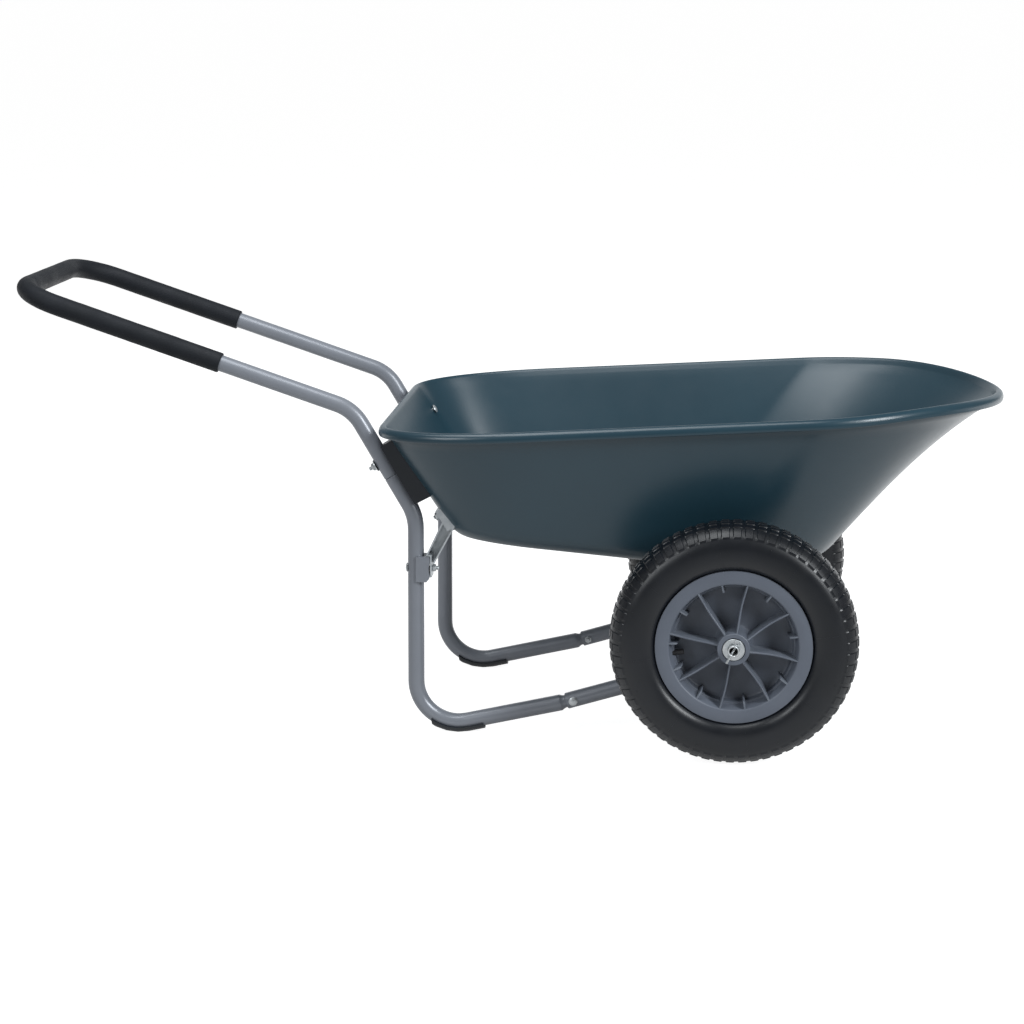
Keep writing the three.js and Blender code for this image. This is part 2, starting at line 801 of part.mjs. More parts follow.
function tyre(side) {
  const outside = mirroredProfile([
    [beadRadius + fit, 19],
    [beadRadius + fit, flangeFace - 4.6],
    [flangeRadius + 1, flangeFace - 4.6],
    [122, 38],
    [146, tyreHalfWidth],
    [168, 37],
    [tyreRadius, 14],
  ]);
  const inside = [
    [111, -24],
    [143, -37.5],
    [160, -32],
    [169, -14],
  ];
  const profile = [...outside, ...inside, ...inside.map(([r, y]) => [r, -y]).reverse()];
  return piece("tyre_" + side, aboutAxle(profile, wheelSegments), "rubber");
}

const wheelDirection = (angle) => at(Math.cos(angle), 0, Math.sin(angle));

function innerTube(side) {
  const torus = (radius, segments) =>
    new THREE.TorusGeometry(tubeMiddle, radius, segments, 18)
      .rotateX(Math.PI / 2)
      .translate(axleX, wheelSide, tyreRadius);
  const inward = wheelDirection(stemAngle);
  const opening = rod(2, 12, onAxle(wheelSide + stemSide).addScaledVector(inward, 102), inward, 8);
  const wallThickness = 2;
  const tube = combine(
    [torus(innerTubeRadius, 8)],
    [torus(innerTubeRadius - wallThickness, 8), opening],
  );
  return piece("inner_tube_" + side, tube, "rubber");
}

function valveStem(side) {
  const inward = wheelDirection(stemAngle);
  const profile = [
    [0, 0],
    [2.6, 0],
    [2.6, 9],
    [stemRadius, 10],
    [stemRadius, 36],
    [0, 36],
  ];
  const from = onAxle(wheelSide + stemSide).addScaledVector(inward, stemBase);
  return piece("valve_stem_" + side, turned(profile, from, inward.negate(), 10), "rubber");
}

// Eight ribs from the hub to the flange, on both faces of the web.
function rimRibs() {
  const outline = mirroredProfile([
    [21, 39],
    [56, 26.5],
    [92, 32.5],
  ]);
  const thickness = 2.4;
  const shape = new THREE.Shape(outline.map(([r, y]) => new THREE.Vector2(r, y)));
  const ribs = [];
  for (let k = 0; k < ribCount; k++) {
    const turn = firstRib + (k * 2 * Math.PI) / ribCount;
    const rib = new THREE.ExtrudeGeometry(shape, { depth: thickness, bevelEnabled: false });
    rib.translate(0, 0, -thickness / 2).rotateY(-turn);
    ribs.push(rib.translate(axleX, wheelSide, tyreRadius));
  }
  return ribs;
}

function rim(side) {
  const profile = mirroredProfile([
    [bushOuter + fit, bushPocket],
    [16.7, bushPocket],
    [16.7, hubFace],
    [hubRadius, hubFace],
    [hubRadius + 1.5, webHalf],
    [barrelInner, webHalf],
    [flangeInner, flangeFace],
    [flangeRadius, flangeFace],
    [flangeRadius, flangeFace - 4.3],
    [beadRadius, flangeFace - 4.3],
  ]);
  const inward = wheelDirection(stemAngle);
  const stemAxis = onAxle(wheelSide + stemSide).addScaledVector(inward, 80);
  const stemRoom = rod(stemRadius + 1, 30, stemAxis, inward, 10);
  const whole = combine([aboutAxle(profile, wheelSegments), ...rimRibs()], [stemRoom]);
  return piece("rim_" + side, whole, "rim");
}

function bush(name, outward) {
  const along = at(0, outward, 0);
  const profile = [
    [axleRadius + fit, 20],
    [bushOuter, 20],
    [bushOuter, bushPocket + fit],
    [15.5, bushPocket + fit],
    [15.5, hubFace - 0.8],
    [axleRadius + fit, hubFace - 0.8],
    [axleRadius + fit, 20],
  ];
  return piece(name, turned(profile, onAxle(wheelSide), along, 16), "bush");
}

function wheel(side) {
  return [
    tyre(side),
    innerTube(side),
    valveStem(side),
    rim(side),
    bush("hub_bush_outer_" + side, 1),
    bush("hub_bush_inner_" + side, -1),
  ];
}

// ---------------------------------------------------------------- export

const barrow = new THREE.Group();
barrow.add(tub(), handleTube(), foamGrip(), frontFrame(), axle());
for (const side of ["left", "right"]) {
  const group = new THREE.Group();
  if (side === "right") group.scale.y = -1;
  group.add(legTube(side), footPad(side), spacerBlock(side), legBracket(side), brace(side));
  group.add(...upperFastening(side), ...bracketFastening(side), ...braceFastening(side));
  group.add(...jointFastening(side), ...frontFastening(side));
  group.add(...axleStops(side), ...wheel(side));
  barrow.add(group);
}

export default barrow;
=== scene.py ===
# A two-wheeled garden wheelbarrow: a moulded tub on bent grey tube, a foam-covered loop
# handle and two air-filled wheels. Everything is in metres, nose towards +X, ground at z = 0.
import json
import math

import bmesh
import bpy
import numpy as np
from mathutils import Matrix, Vector, noise


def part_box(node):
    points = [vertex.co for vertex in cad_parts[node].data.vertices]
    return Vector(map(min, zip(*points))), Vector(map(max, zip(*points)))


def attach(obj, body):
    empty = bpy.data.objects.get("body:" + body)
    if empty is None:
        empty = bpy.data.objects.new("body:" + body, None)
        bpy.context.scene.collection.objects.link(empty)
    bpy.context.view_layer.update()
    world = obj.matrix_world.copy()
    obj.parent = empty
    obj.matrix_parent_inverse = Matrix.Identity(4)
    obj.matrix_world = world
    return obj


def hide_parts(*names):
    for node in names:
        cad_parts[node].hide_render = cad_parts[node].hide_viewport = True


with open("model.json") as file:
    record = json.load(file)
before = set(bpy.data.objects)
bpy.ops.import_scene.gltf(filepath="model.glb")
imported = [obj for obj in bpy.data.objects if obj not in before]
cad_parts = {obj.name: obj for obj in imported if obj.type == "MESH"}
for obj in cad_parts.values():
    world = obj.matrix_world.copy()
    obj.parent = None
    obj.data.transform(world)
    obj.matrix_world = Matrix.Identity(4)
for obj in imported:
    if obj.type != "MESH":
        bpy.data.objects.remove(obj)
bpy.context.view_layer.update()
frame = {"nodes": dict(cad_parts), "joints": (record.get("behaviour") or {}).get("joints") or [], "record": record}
nodes = frame["nodes"]
scene = bpy.context.scene
print("frame loaded:", len(nodes), "nodes")

sides = {"left": 1, "right": -1}
up = Vector((0, 0, 1))
leftward = Vector((0, 1, 0))
mm = 0.001

# ---- camera

cameraView = {
    "place": (0.3342, -3.5583, 1.0815),
    "yaw": 0.0945,  # to the left of straight ahead, in radians
    "pitch": 0.2159,  # downwards
    "roll": 0.0052,
    "lens": 83.9,
    "sensorWidth": 36,
}


def makeCamera(view):
    yaw, pitch, roll = view["yaw"], view["pitch"], view["roll"]
    ahead = Vector((
        -math.sin(yaw) * math.cos(pitch),
        math.cos(yaw) * math.cos(pitch),
        -math.sin(pitch),
    ))
    right = Vector((math.cos(yaw), math.sin(yaw), 0))
    above = right.cross(ahead)
    tiltedRight = right * math.cos(roll) + above * math.sin(roll)
    tiltedUp = above * math.cos(roll) - right * math.sin(roll)
    turn = Matrix((tiltedRight, tiltedUp, -ahead)).transposed().to_4x4()
    lens = bpy.data.cameras.new("camera")
    lens.lens = view["lens"]
    lens.sensor_width = view["sensorWidth"]
    camera = bpy.data.objects.new("camera", lens)
    camera.matrix_world = Matrix.Translation(view["place"]) @ turn
    scene.collection.objects.link(camera)
    scene.camera = camera


makeCamera(cameraView)

# ---- shader node groups shared by the materials

# spans are the part of a noise, or of a slope or edge value, over which an effect comes in
effects = {
    "grainDetail": 2.0,
    "waveDetail": 3.0,
    "waveShare": 0.6,
    "glossPatch": {"size": 26.0, "detail": 5.0, "roughness": 0.62, "span": (0.35, 0.65)},
    "driftPatch": {"detail": 5.0, "roughness": 0.6, "span": (0.38, 0.64)},
    "wearFull": 0.62,
    "wearPatch": {"detail": 6.0, "roughness": 0.7, "span": (0.42, 0.62), "least": 0.15},
    "dustPatch": {"detail": 8.0, "roughness": 0.72, "span": (0.45, 0.7)},
    "dustSlope": {"span": (-0.2, 1.0), "least": 0.25},
    "dustColour": "a9a49a",
    "coatRoughness": 0.25,
}


def newGroup(name, inputs, outputs):
    group = bpy.data.node_groups.new(name, "ShaderNodeTree")
    for label, kind, default in inputs:
        socket = group.interface.new_socket(label, in_out="INPUT", socket_type=kind)
        socket.default_value = default
    for label, kind in outputs:
        group.interface.new_socket(label, in_out="OUTPUT", socket_type=kind)
    start = group.nodes.new("NodeGroupInput")
    end = group.nodes.new("NodeGroupOutput")
    return group, start, end


def link(tree, source, target):
    tree.links.new(source, target)


def feed(tree, socket, value):
    # value: another node's output, or a plain number or colour
    if isinstance(value, bpy.types.NodeSocket):
        link(tree, value, socket)
    else:
        socket.default_value = value


def addNode(tree, kind, **settings):
    node = tree.nodes.new(kind)
    for name, value in settings.items():
        setattr(node, name, value)
    return node


def addMath(tree, operation, first, second):
    node = addNode(tree, "ShaderNodeMath", operation=operation)
    feed(tree, node.inputs[0], first)
    feed(tree, node.inputs[1], second)
    return node.outputs[0]


def addNoise(tree, place, scale, detail, roughness=0.55):
    node = addNode(tree, "ShaderNodeTexNoise")
    link(tree, place, node.inputs["Vector"])
    feed(tree, node.inputs["Scale"], scale)
    node.inputs["Detail"].default_value = detail
    node.inputs["Roughness"].default_value = roughness
    return node.outputs["Fac"]


def addRange(tree, value, fromLow, fromHigh, toLow, toHigh):
    node = addNode(tree, "ShaderNodeMapRange")
    link(tree, value, node.inputs["Value"])
    labels = ("From Min", "From Max", "To Min", "To Max")
    for label, number in zip(labels, (fromLow, fromHigh, toLow, toHigh)):
        feed(tree, node.inputs[label], number)
    return node.outputs["Result"]


def addMix(tree, factor, first, second):
    node = addNode(tree, "ShaderNodeMix", data_type="RGBA")
    link(tree, factor, node.inputs["Factor"])
    feed(tree, node.inputs[6], first)  # the colour inputs A and B
    feed(tree, node.inputs[7], second)
    return node.outputs[2]


def makeMouldedSkin():
    # the fine pebbled skin and faint flow marks of a moulded or coated surface
    group, start, end = newGroup(
        "mouldedSkin",
        [
            ("Grain Size", "NodeSocketFloat", 900.0),
            ("Wave Size", "NodeSocketFloat", 9.0),
            ("Roughness Low", "NodeSocketFloat", 0.35),
            ("Roughness High", "NodeSocketFloat", 0.5),
        ],
        [("Height", "NodeSocketFloat"), ("Roughness", "NodeSocketFloat")],
    )
    place = addNode(group, "ShaderNodeTexCoord").outputs["Object"]
    grain = addNoise(group, place, start.outputs["Grain Size"], effects["grainDetail"])
    wave = addNoise(group, place, start.outputs["Wave Size"], effects["waveDetail"])
    waveHeight = addMath(group, "MULTIPLY", wave, effects["waveShare"])
    link(group, addMath(group, "ADD", grain, waveHeight), end.inputs["Height"])
    look = effects["glossPatch"]
    patch = addNoise(group, place, look["size"], look["detail"], look["roughness"])
    low, high = start.outputs["Roughness Low"], start.outputs["Roughness High"]
    rough = addRange(group, patch, *look["span"], low, high)
    link(group, rough, end.inputs["Roughness"])
    return group


def makeColourDrift():
    # slow, slight change of a colour from place to place
    group, start, end = newGroup(
        "colourDrift",
        [
            ("Colour", "NodeSocketColor", (0.5, 0.5, 0.5, 1)),
            ("Other Colour", "NodeSocketColor", (0.4, 0.4, 0.4, 1)),
            ("Patch Size", "NodeSocketFloat", 6.0),
        ],
        [("Colour", "NodeSocketColor")],
    )
    place = addNode(group, "ShaderNodeTexCoord").outputs["Object"]
    look = effects["driftPatch"]
    broad = addNoise(group, place, start.outputs["Patch Size"], look["detail"], look["roughness"])
    amount = addRange(group, broad, *look["span"], 0.0, 1.0)
    colour = addMix(group, amount, start.outputs["Colour"], start.outputs["Other Colour"])
    link(group, colour, end.inputs["Colour"])
    return group


def makeEdgeWear():
    # a mask that is 1 on rubbed outer edges, broken up by noise
    group, start, end = newGroup(
        "edgeWear",
        [
            ("Sharpness", "NodeSocketFloat", 0.53),
            ("Break Up", "NodeSocketFloat", 120.0),
            ("Amount", "NodeSocketFloat", 1.0),
        ],
        [("Mask", "NodeSocketFloat")],
    )
    edge = addNode(group, "ShaderNodeNewGeometry").outputs["Pointiness"]
    raised = addRange(group, edge, start.outputs["Sharpness"], effects["wearFull"], 0.0, 1.0)
    place = addNode(group, "ShaderNodeTexCoord").outputs["Object"]
    look = effects["wearPatch"]
    broken = addNoise(group, place, start.outputs["Break Up"], look["detail"], look["roughness"])
    patches = addRange(group, broken, *look["span"], look["least"], 1.0)
    worn = addMath(group, "MULTIPLY", raised, patches)
    link(group, addMath(group, "MULTIPLY", worn, start.outputs["Amount"]), end.inputs["Mask"])
    return group


def makeDust():
    # pale dust that settles on what faces up
    group, start, end = newGroup(
        "dust",
        [("Amount", "NodeSocketFloat", 0.1), ("Patch Size", "NodeSocketFloat", 30.0)],
        [("Mask", "NodeSocketFloat")],
    )
    normal = addNode(group, "ShaderNodeNewGeometry").outputs["Normal"]
    parts = addNode(group, "ShaderNodeSeparateXYZ")
    link(group, normal, parts.inputs[0])
    slope, look = effects["dustSlope"], effects["dustPatch"]
    facingUp = addRange(group, parts.outputs["Z"], *slope["span"], slope["least"], 1.0)
    place = addNode(group, "ShaderNodeTexCoord").outputs["Object"]
    patch = addNoise(group, place, start.outputs["Patch Size"], look["detail"], look["roughness"])
    specks = addRange(group, patch, *look["span"], 0.0, 1.0)
    soft = addMath(group, "MULTIPLY", facingUp, specks)
    link(group, addMath(group, "MULTIPLY", soft, start.outputs["Amount"]), end.inputs["Mask"])
    return group


mouldedSkin = makeMouldedSkin()
colourDrift = makeColourDrift()
edgeWear = makeEdgeWear()
dust = makeDust()


def linear(hexCode):
    values = [int(hexCode[i:i + 2], 16) / 255 for i in (0, 2, 4)]
    return tuple(v / 12.92 if v <= 0.04045 else ((v + 0.055) / 1.055) ** 2.4 for v in values) + (1,)


def addEffect(tree, group, values):
    node = addNode(tree, "ShaderNodeGroup", node_tree=group)
    for label, value in values.items():
        node.inputs[label].default_value = value
    return node


def makeMaterial(name, look, wearAmount=1.0):
    material = bpy.data.materials.new(name)
    material.use_nodes = True
    tree = material.node_tree
    shader = tree.nodes["Principled BSDF"]
    drift = addEffect(tree, colourDrift, {
        "Colour": linear(look["colour"]),
        "Other Colour": linear(look["other"]),
        "Patch Size": look["patch"],
    })
    skin = addEffect(tree, mouldedSkin, {
        "Grain Size": look["grain"],
        "Wave Size": look["wave"],
        "Roughness Low": look["rough"][0],
        "Roughness High": look["rough"][1],
    })
    wear = addEffect(tree, edgeWear, {"Sharpness": look["edge"], "Amount": wearAmount})
    grime = addEffect(tree, dust, {"Amount": look["dust"]})
    rubbed = addMix(tree, wear.outputs["Mask"], drift.outputs["Colour"], linear(look["worn"]))
    dusty = addMix(tree, grime.outputs["Mask"], rubbed, linear(effects["dustColour"]))
    link(tree, dusty, shader.inputs["Base Color"])
    link(tree, skin.outputs["Roughness"], shader.inputs["Roughness"])
    bump = addNode(tree, "ShaderNodeBump")
    bump.inputs["Strength"].default_value = look["bump"]
    bump.inputs["Distance"].default_value = look.get("depth", 0.0004)
    link(tree, skin.outputs["Height"], bump.inputs["Height"])
    link(tree, bump.outputs["Normal"], shader.inputs["Normal"])
    shader.inputs["Metallic"].default_value = look["metal"]
    shader.inputs["Specular IOR Level"].default_value = look.get("specular", 0.5)
    shader.inputs["Coat Weight"].default_value = look.get("coat", 0)
    shader.inputs["Coat Roughness"].default_value = effects["coatRoughness"]
    return material


# colours drift between colour and other, and worn shows on rubbed edges where they turn sharper
# than edge; patch, grain and wave are noise sizes; depth, specular and coat are optional
finishes = {
    "tub_plastic": {
        "colour": "203b47", "other": "1e3844", "worn": "34515d", "patch": 4, "metal": 0,
        "rough": (0.29, 0.32), "grain": 700, "wave": 5, "bump": 0.02, "edge": 0.56, "dust": 0.0,
        "specular": 0.55,
    },
    "grey_paint": {
        "colour": "82868e", "other": "7c8088", "worn": "9a9ea6", "patch": 9, "metal": 0.15,
        "rough": (0.3, 0.4), "grain": 1300, "wave": 30, "bump": 0.05, "edge": 0.56, "dust": 0.03,
        "coat": 0.3,
    },
    "zinc": {
        "colour": "cccfd1", "other": "b4babd", "worn": "e2e4e4", "patch": 90, "metal": 0.7,
        "rough": (0.29, 0.42), "grain": 2600, "wave": 150, "bump": 0.12, "edge": 0.54, "dust": 0.04,
    },
    "galvanised": {
        "colour": "c8cccf", "other": "b2b8bc", "worn": "dfe2e3", "patch": 60, "metal": 0.65,
        "rough": (0.3, 0.5), "grain": 1500, "wave": 70, "bump": 0.12, "edge": 0.54, "dust": 0.06,
    },
    "tyre_rubber": {
        "colour": "090d13", "other": "0c1017", "worn": "181b23", "patch": 14, "metal": 0,
        "rough": (0.31, 0.39), "grain": 1600, "wave": 24, "bump": 0.05, "edge": 0.54, "dust": 0.0,
        "specular": 0.5,
    },
    "foam": {
        "colour": "12161d", "other": "0f1319", "worn": "1a1f27", "patch": 20, "metal": 0,
        "rough": (0.55, 0.7), "grain": 2200, "wave": 60, "bump": 0.4, "edge": 0.56, "dust": 0.0,
        "depth": 0.0006, "specular": 0.3,
    },
    "black_plastic": {
        "colour": "12171e", "other": "141920", "worn": "22272c", "patch": 12, "metal": 0,
        "rough": (0.42, 0.5), "grain": 1400, "wave": 20, "bump": 0.06, "edge": 0.56, "dust": 0.0,
    },
    "rim_plastic": {
        "colour": "606671", "other": "5b616c", "worn": "70767f", "patch": 12, "metal": 0,
        "rough": (0.42, 0.54), "grain": 1100, "wave": 20, "bump": 0.08, "edge": 0.56, "dust": 0.02,
    },
    "bush_plastic": {
        "colour": "24262a", "other": "1d1f22", "worn": "3a3d42", "patch": 40, "metal": 0,
        "rough": (0.35, 0.5), "grain": 1500, "wave": 50, "bump": 0.1, "edge": 0.54, "dust": 0.03,
    },
    "tube_rubber": {
        "colour": "1c1c1e", "other": "232326", "worn": "333336", "patch": 20, "metal": 0,
        "rough": (0.5, 0.65), "grain": 1500, "wave": 30, "bump": 0.1, "edge": 0.55, "dust": 0.02,
    },
}
materials = {slot: makeMaterial(slot, look) for slot, look in finishes.items()}
slotOf = {part["node"]: part["material_slot"] for part in frame["record"]["subparts"]}
# the coarse meshes of the frame carry the same looks without worn edges
evenMaterials = {slot: makeMaterial(slot + "Even", look, 0.0) for slot, look in finishes.items()}
for name, node in nodes.items():
    node.data.materials.clear()
    node.data.materials.append(evenMaterials[slotOf[name]])
print("materials made:", len(materials))

# ---- mesh helpers


def makePiece(name, meshes, body, stands, smoothAngle=35):
    # meshes: pairs of points and faces; stands: the CAD nodes that the piece stands for
    mesh = bpy.data.meshes.new(name)
    build = bmesh.new()
    for points, faces in meshes:
        corners = [build.verts.new(point) for point in points]
        for face in faces:
            build.faces.new([corners[i] for i in face])
    bmesh.ops.recalc_face_normals(build, faces=build.faces)
    build.to_mesh(mesh)
    build.free()
    mesh.polygons.foreach_set("use_smooth", [True] * len(mesh.polygons))
    mesh.set_sharp_from_angle(angle=math.radians(smoothAngle))
    piece = bpy.data.objects.new(name, mesh)
    scene.collection.objects.link(piece)
    mesh.materials.append(materials[slotOf[stands[0]]])
    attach(piece, body)
    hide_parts(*stands)
    return piece


def ringFaces(ringCount, around, closed=False):
    faces = []
    for k in range(ringCount if closed else ringCount - 1):
        here, there = k * around, ((k + 1) % ringCount) * around
        for i in range(around):
            j = (i + 1) % around
            faces.append((here + i, here + j, there + j, there + i))
    return faces


def loft(rings, closed=False):
    # rings of equal length; open ends are closed with one face each
    around = len(rings[0])
    points = [point for ring in rings for point in ring]
    faces = ringFaces(len(rings), around, closed)
    if not closed:
        last = (len(rings) - 1) * around
        faces.append(tuple(reversed(range(around))))
        faces.append(tuple(range(last, last + around)))
    return points, faces


def crossways(along):
    helper = up if abs(along.z) < 0.9 else Vector((1, 0, 0))
    first = helper.cross(along).normalized()
    return first, along.cross(first).normalized()


def lathe(profile, centre, along, segments, closed=False):
    # profile: (radius, distance along the axis); a closed profile comes back to its start
    first, second = crossways(along)
    rings = []
    for radius, distance in profile:
        base = centre + along * distance
        rings.append([
            base + (first * math.cos(a) + second * math.sin(a)) * radius
            for a in (2 * math.pi * i / segments for i in range(segments))
        ])
    return loft(rings, closed)


def bentRoute(corners, radii, step=math.radians(5)):
    # straight runs joined by round bends
    points = [corners[0]]
    for i, radius in enumerate(radii, 1):
        into = (corners[i] - corners[i - 1]).normalized()
        out = (corners[i + 1] - corners[i]).normalized()
        turn = into.angle(out)
        start = corners[i] - into * radius * math.tan(turn / 2)
        inward = (out - into * out.dot(into)).normalized()
        centre = start + inward * radius
        count = max(2, round(turn / step))
        for k in range(count + 1):
            a = turn * k / count
            points.append(centre - inward * radius * math.cos(a) + into * radius * math.sin(a))
    points.append(corners[-1])
    return points


def distancesAlong(points):
    total = [0.0]
    for a, b in zip(points, points[1:]):
        total.append(total[-1] + (b - a).length)
    return total


def pointAlong(points, total, distance):
    distance = min(max(distance, 0), total[-1])
    i = min(int(np.searchsorted(total, distance, side="right")) - 1, len(points) - 2)
    return points[i].lerp(points[i + 1], (distance - total[i]) / (total[i + 1] - total[i]))


def sweep(points, radius, startShape, endShape, sides, step=None, shape=None):
    # a round bar or tube along points; each end shape lists (distance from the end, radius)
    probe = 5e-4  # the direction is read over this distance before and after a station
    total = distancesAlong(points)
    middle = [d for d in total if startShape[-1][0] < d < total[-1] - endShape[-1][0]]
    if step:
        count = int((total[-1] - startShape[-1][0] - endShape[-1][0]) / step)
        middle = [startShape[-1][0] + step * (k + 0.5) for k in range(count)]
    stations = list(startShape) + [(d, radius) for d in middle]
    stations += [(total[-1] - d, r) for d, r in reversed(endShape)]
    rings = []
    before = None
    for distance, size in stations:
        ahead = pointAlong(points, total, distance + probe)
        along = (ahead - pointAlong(points, total, distance - probe)).normalized()
        if before is None:
            first, _ = crossways(along)
        else:
            first = before[0].copy()
            first.rotate(before[1].rotation_difference(along))
        before = (first, along)
        second = along.cross(first)
        centre = pointAlong(points, total, distance)
        ring = []
        for i in range(sides):
            a = 2 * math.pi * i / sides
            out = first * math.cos(a) + second * math.sin(a)
            reach = size + (shape(centre + out * size, distance) if shape else 0)
            ring.append(centre + out * reach)
        rings.append(ring)
    return loft(rings)


# ---- tub

tubShape = {
    "wall": 0.004,
    "fillet": 0.03,
    "rim": {
        "rearX": -0.169, "cornerX": 0.040, "cornerY": 0.170, "rearHalf": 0.287,
        "shoulderX": 0.440, "frontHalf": 0.283, "noseX": 0.717, "nosePower": 1.75,
    },
    "floor": {
        "rearX": -0.068, "cornerX": 0.050, "cornerY": 0.158, "rearHalf": 0.204,
        "shoulderX": 0.270, "frontHalf": 0.196, "noseX": 0.470, "nosePower": 1.9,
    },
    "cornerPower": 2.2,
    # how many points each run of an outline has; the rear ones are a share of cornerY apart
    "steps": {"rear": 8, "rearShare": 0.12, "corner": 26, "side": 12, "nose": 46},
    "rimHeight": {"atZero": 0.461, "rise": 0.064, "noseX": 0.560, "noseDrop": 0.6},
    "floorHeight": {"atZero": 0.288, "fall": 0.09},
    # the wall curves outwards more and more between two x values
    "flare": {"most": 0.16, "span": (0.150, 0.700), "power": 4},
    "filletAim": (0.06, 0.3),  # x range on the floor's middle line that the fillets bend towards
    "filletSteps": 9,
    "wallSteps": 16,
    "floorShares": (0.02, 0.3, 0.6, 0.85),
    # out from and up from the top of the wall: a rolled lip, open underneath
    "lip": [
        (0.6, -3.2), (1.6, -0.6), (3.6, 0.9), (6.6, 1.3), (8.8, 0.6), (9.4, -0.9), (10.4, -1.6),
        (11.8, -1.2), (12.6, 0.6), (12.8, 3.4), (12.3, 6.6), (10.9, 9.3), (8.6, 11.4), (5.8, 12.6),
        (4.2, 12.75), (2.8, 12.2), (1.6, 11.0), (0.4, 9.0), (-0.9, 6.6), (-2.3, 4.2), (-3.6, 1.8),
    ],
}


def rimLevel(x):
    height = tubShape["rimHeight"]
    drop = height["noseDrop"] * max(0, x - height["noseX"]) ** 2
    return height["atZero"] + height["rise"] * x - drop


def floorLevel(x):
    height = tubShape["floorHeight"]
    return height["atZero"] - height["fall"] * x


def outlineOf(o):
    # from the middle of the rear edge round the left side to the nose, then back on the right
    steps = tubShape["steps"]
    half = [(o["rearX"], o["cornerY"] * steps["rearShare"] * k) for k in range(steps["rear"])]
    power = 2 / tubShape["cornerPower"]
    for k in range(steps["corner"] + 1):
        a = k / steps["corner"] * math.pi / 2
        half.append((
            o["cornerX"] - (o["cornerX"] - o["rearX"]) * math.cos(a) ** power,
            o["cornerY"] + (o["rearHalf"] - o["cornerY"]) * math.sin(a) ** power,
        ))
    for k in range(1, steps["side"]):
        t = k / steps["side"]
        half.append((
            o["cornerX"] + (o["shoulderX"] - o["cornerX"]) * t,
            o["rearHalf"] + (o["frontHalf"] - o["rearHalf"]) * t,
        ))
    power = 2 / o["nosePower"]
    for k in range(steps["nose"] + 1):
        a = k / steps["nose"] * math.pi / 2
        half.append((
            o["shoulderX"] + (o["noseX"] - o["shoulderX"]) * math.sin(a) ** power,
            o["frontHalf"] * max(math.cos(a), 0) ** power,
        ))
    return half + [(x, -y) for x, y in reversed(half[1:-1])]


def smoothStep(value, low, high):
    t = min(max((value - low) / (high - low), 0), 1)
    return t * t * (3 - 2 * t)


def tubRings():
    floor = [Vector((x, y, floorLevel(x))) for x, y in outlineOf(tubShape["floor"])]
    rim = [Vector((x, y, rimLevel(x))) for x, y in outlineOf(tubShape["rim"])]
    flareShape, fillet = tubShape["flare"], tubShape["fillet"]
    aimLow, aimHigh = tubShape["filletAim"]
    filletSteps, wallSteps = tubShape["filletSteps"], tubShape["wallSteps"]

    def onWall(i, h):
        flare = flareShape["most"] * smoothStep(rim[i].x, *flareShape["span"])
        point = floor[i].lerp(rim[i], (1 - flare) * h + flare * h ** flareShape["power"])
        point.z = floor[i].z + (rim[i].z - floor[i].z) * h
        return point

    def onFillet(i, t):
        aim = Vector((min(max(floor[i].x, aimLow), aimHigh), 0, floor[i].z))
        start = floor[i] + (aim - floor[i]).normalized() * fillet
        start.z = floorLevel(start.x)
        end = onWall(i, lowest[i])
        return start * (1 - t) ** 2 + floor[i] * 2 * t * (1 - t) + end * t * t

    spots = range(len(floor))
    lowest = [fillet / (floor[i] - rim[i]).length for i in spots]
    rings = [[onFillet(i, k / filletSteps) for i in spots] for k in range(filletSteps + 1)]
    for k in range(1, wallSteps + 1):
        rings.append([onWall(i, lowest[i] + (1 - lowest[i]) * k / wallSteps) for i in spots])
    return rings


def pushedIn(rings, distance):
    around = len(rings[0])
    moved = []
    for k, ring in enumerate(rings):
        below, above = rings[max(k - 1, 0)], rings[min(k + 1, len(rings) - 1)]
        row = []
        for i, point in enumerate(ring):
            across = ring[(i - 1) % around] - ring[(i + 1) % around]
            normal = across.cross(above[i] - below[i]).normalized()
            if k == 0:
                normal = Vector((-tubShape["floorHeight"]["fall"], 0, -1)).normalized()
            row.append(point - normal * distance)
        moved.append(row)
    return moved


def floorPatch(ring):
    # shrinks a floor ring to its middle in steps, so the floor has an even mesh
    middle = sum(ring, Vector()) / len(ring)
    return [[middle.lerp(point, t) for point in ring] for t in tubShape["floorShares"]]


def makeTub():
    outer = tubRings()
    top = outer[-1]
    around = len(top)
    lip = []
    for out, rise in tubShape["lip"]:
        row = []
        for i, point in enumerate(top):
            along = top[(i + 1) % around] - top[(i - 1) % around]
            outward = Vector((-along.y, along.x, 0)).normalized()
            row.append(point + outward * out * mm + up * rise * mm)
        lip.append(row)
    inner = pushedIn(outer, tubShape["wall"])
    rings = floorPatch(outer[0]) + outer[:-1] + lip
    rings += list(reversed(inner[:-1])) + list(reversed(floorPatch(inner[0])))
    makePiece("tub_shell", [loft(rings)], "frame", ["tub"], 60)


makeTub()
print("tub made")

# ---- frame tubes, in the side plane y = side

